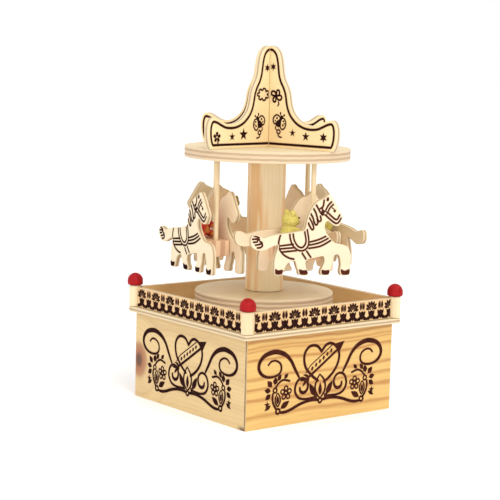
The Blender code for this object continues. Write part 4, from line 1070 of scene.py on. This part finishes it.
# How far each rider sits behind its pole; its lumps as centre, radii and tilt, first those on
# its middle line and then one of each pair: ears, arms and legs.
RIDERS = {
    "front": (15.0, (((0, 0, 5.2), (4.4, 4.7, 5.4), 8), ((0.6, 0, 12.0), (4.4, 4.9, 4.3), 0),
                     ((3.9, 0, 11.0), (2.2, 2.4, 1.8), 0)),
              (((0.2, 3.2, 15.6), (1.6, 1.7, 1.9), 0), ((3.6, 3.6, 6.6), (3.6, 1.6, 1.5), 20),
               ((4.6, 2.9, 1.9), (4.6, 2.0, 1.8), 0))),
    "right": (16.0, (((0, 0, 5.4), (4.8, 4.6, 5.6), 8), ((0.8, 0, 12.4), (3.8, 4.0, 3.9), 0),
                     ((4.0, 0, 11.6), (2.0, 2.0, 1.6), 0)),
              (((0.2, 2.4, 15.8), (1.3, 1.4, 2.0), 0), ((3.4, 3.8, 6.8), (3.4, 1.5, 1.5), 20),
               ((4.4, 2.9, 1.9), (4.6, 2.0, 1.8), 0))),
    "back": (13.5, (((0, 0, 5.0), (4.6, 4.4, 5.2), 8), ((0.6, 0, 9.8), (3.0, 3.0, 3.2), 0),
                    ((1.0, 0, 13.6), (4.0, 4.1, 3.5), 0), ((4.2, 0, 12.8), (2.0, 1.9, 1.5), 0)),
             (((0.0, 2.5, 16.3), (1.1, 1.3, 1.7), 0), ((3.6, 3.6, 6.8), (3.4, 1.5, 1.5), 20),
              ((4.6, 2.9, 1.9), (4.6, 2.0, 1.8), 0))),
    "left": (12.5, (((0, 0, 5.2), (4.6, 4.5, 5.4), 8), ((0.8, 0, 12.2), (4.0, 4.2, 3.9), 0),
                    ((4.2, 0, 11.3), (2.0, 2.1, 1.6), 0)),
             (((0.2, 2.9, 15.6), (1.3, 1.5, 1.8), 0), ((3.6, 3.8, 6.8), (3.4, 1.5, 1.5), 20),
              ((4.6, 2.9, 1.9), (4.6, 2.0, 1.8), 0))),
}


def leaned(slope):
    """A board glued on slightly out of level: it keeps its front hoof where it is."""
    return Matrix(((1, 0, 0, 0), (slope, 1, 0, -13 * slope), (0, 0, 1, 0), (0, 0, 0, 1)))


def make_stations():
    outline = horse_outline()
    boards = (("printed_horse_", "horse_outer_", "birch_pale", horse_ornament(), -1),
              ("plain_horse_", "horse_inner_", "birch_inner", (), 1))
    for name in SIDES:
        station = (turned_by(POLE_ANGLES[name]) @ at(POLE_CIRCLE)
                   @ turned_by(90 + HORSE_TURNS[name]))
        char = "char_horse" if name == "front" else "char"
        for piece, node, look, marks, side in boards:
            bm = cut_board(outline, HORSE_THICK, marks, edge=0.16)
            bmesh.ops.transform(bm, matrix=leaned(HORSE_LEANS[name]), verts=bm.verts)
            finish_piece(piece + name, bm, (look, "ply3", char), "carousel",
                         [node + name],
                         station @ at(0, side * BOARD_SPACING / 2 - BOARD_SHIFT, HOOF_LEVEL)
                         @ turned_by(90, "X"))
        finish_piece("dowel_pole_" + name, rounded_rod(POLE_RADIUS, POLE_LOW, POLE_HIGH, 0.15, 24),
                     ("dowel",), "carousel", ["pole_" + name], station)
        make_seat(name, station)
        make_rider(name, station)


def make_seat(name, station):
    """A block between the two horses, with a socket for its pole and its plies at the ends."""
    half = (BOARD_SPACING - HORSE_THICK) / 2 - GAP
    outline = [(SEAT_BACK, SEAT_LOW), (SEAT_FRONT, SEAT_LOW), (SEAT_FRONT, SEAT_HIGH),
               (SEAT_BACK, SEAT_HIGH)]
    bm = cut_board(outline, 2 * half, edge=0.3)
    bmesh.ops.transform(bm, matrix=turned_by(90, "X"), verts=bm.verts)
    block = in_scene("block", mesh_from(bm, "block"))
    socket = bmesh.new()
    bmesh.ops.create_cone(socket, cap_ends=True, segments=24, radius1=POLE_RADIUS + GAP,
                          radius2=POLE_RADIUS + GAP, depth=6.0,
                          matrix=Matrix.Translation((0, BOARD_SHIFT, SEAT_HIGH - 2.0)))
    cutter = in_scene("socket", mesh_from(socket, "socket"))
    step = block.modifiers.new("socket", "BOOLEAN")
    step.operation = "DIFFERENCE"
    step.solver = "EXACT"
    step.object = cutter
    out = worked(block, cutter)
    uv_layer = out.loops.layers.uv["wood"]
    for face in out.faces:
        at_end, flat = abs(face.normal.x) > 0.7, abs(face.normal.z) > 0.7
        face.material_index = RIM if at_end else FACE
        for loop in face.loops:
            x, y, z = loop.vert.co
            if at_end:
                loop[uv_layer].uv = (z * MM, (y + half) / (2 * half))
            else:
                loop[uv_layer].uv = (x * MM, (y if flat else z) * MM)
    finish_piece("seat_block_" + name, out, ("seat_side", "seat_end"), "carousel",
                 ["seat_" + name], station @ at(0, -BOARD_SHIFT))


def make_rider(name, station):
    """A small plain animal sitting behind the pole, and its two eyes."""
    behind, middle, paired = RIDERS[name]
    parts = list(middle) + [((x, side * y, z), radii, tilt)
                            for (x, y, z), radii, tilt in paired for side in (-1, 1)]
    body = soft_body(parts, 0.32, 6, 0.22, 3.0 + behind)
    place = station @ at(-behind, -BOARD_SHIFT, SEAT_HIGH + GAP)
    bmesh.ops.translate(body, verts=body.verts, vec=(0, 0, -min(v.co.z for v in body.verts)))
    finish_piece("small_rider_" + name, body, ("rider_" + name,), "carousel",
                 ["rider_" + name], place, angle=70)
    (hx, hy, hz), (rx, ry, rz), _ = max((part for part in middle if part[1][0] > 3.5),
                                        key=lambda part: part[0][2])
    eyes = bmesh.new()
    for side in (-1, 1):
        spot = Matrix.Translation((hx + 0.80 * rx, hy + side * 0.55 * ry, hz + 0.35 * rz))
        bmesh.ops.create_uvsphere(eyes, u_segments=16, v_segments=10, radius=0.6, matrix=spot)
    finish_piece("rider_eyes_" + name, eyes, ("eye",), "carousel", (), place)


def make_crown():
    marks = crown_ornament()
    for name, angle in (("crown_board_slot_up", 0), ("crown_board_slot_down", 90)):
        bm = cut_board(crown_outline(angle == 0), CROWN_THICK, marks, flipped(marks), edge=0.18)
        finish_piece(name + "_cut", bm, ("birch_crown", "ply3", "char"), "carousel",
                     [name], turned_by(CROWN_ANGLE + angle) @ at(0, 0, CROWN_LOW)
                     @ turned_by(90, "X"))


def dress_hidden_parts():
    """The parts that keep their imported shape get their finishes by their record's slot."""
    slots = {"steel": "steel", "brass": "brass", "zinc": "zinc", "birch_ply": "dowel"}
    for entry in frame["record"]["subparts"]:
        finish = slots.get(entry["material_slot"])
        obj = frame["nodes"][entry["node"]]
        for slot in obj.material_slots if finish else ():
            slot.material = finishes[finish]


make_box()
make_platform()
make_fences()
make_posts()
make_discs()
make_stations()
make_crown()
dress_hidden_parts()


# ------------------------------------------------------------- floor, light, view

def make_stage():
    bm = bmesh.new()
    bmesh.ops.create_grid(bm, x_segments=1, y_segments=1, size=6.0)
    paper, tree = new_finish("floor_paper", 0.9, specular=0.1)
    cloud = speckle(tree, add(tree, "TexCoord").outputs["Object"], 3.0)
    pale = blend(tree, cloud, (0.96, 0.96, 0.96), (0.98, 0.98, 0.98))
    tree.links.new(pale, tree.nodes["Principled BSDF"].inputs["Base Color"])
    floor = in_scene("floor", mesh_from(bm, "floor"))
    floor.data.materials.append(paper)
    world = bpy.data.worlds.new("studio")
    world.use_nodes = True
    sky = world.node_tree.nodes["Background"].inputs
    sky["Color"].default_value = (1.0, 1.0, 1.0, 1.0)
    sky["Strength"].default_value = 1.0
    bpy.context.scene.world = world
    bpy.context.scene.view_settings.view_transform = "Standard"


def outward(azimuth, elevation):
    """The way from the middle to a place this many degrees round from the front, and up."""
    a, e = math.radians(azimuth), math.radians(elevation)
    return Vector((math.sin(a) * math.cos(e), -math.cos(a) * math.cos(e), math.sin(e)))


def aimed_light(name, kind, azimuth, elevation, distance, power):
    lamp = bpy.data.lights.new(name, kind)
    lamp.energy = power
    obj = in_scene(name, lamp)
    away = outward(azimuth, elevation)
    obj.location = LIT_POINT + away * distance
    obj.rotation_euler = away.to_track_quat("Z", "Y").to_euler()
    return lamp


def make_lights():
    aimed_light("sky", "SUN", -14, 46, 1.0, 0.75).angle = math.radians(40)
    for name, azimuth, elevation, distance, size, power in (("key", -10, 42, 1.1, 0.6, 2.4),
                                                            ("fill", -80, 25, 1.2, 0.9, 2.0)):
        aimed_light(name, "AREA", azimuth, elevation, distance, power).size = size


def make_camera():
    back = outward(CAMERA_AZIMUTH, CAMERA_ELEVATION)
    level = Vector((0, 0, 1)).cross(back).normalized()
    turn = Matrix((level, back.cross(level), back)).transposed().to_4x4()
    lens = bpy.data.cameras.new("camera")
    lens.lens = CAMERA_LENS
    lens.clip_start = 0.01
    camera = in_scene("camera", lens)
    camera.matrix_world = (Matrix.Translation(CAMERA_TARGET + back * CAMERA_DISTANCE) @ turn
                           @ turned_by(CAMERA_ROLL))
    bpy.context.scene.camera = camera


make_stage()
make_lights()
make_camera()
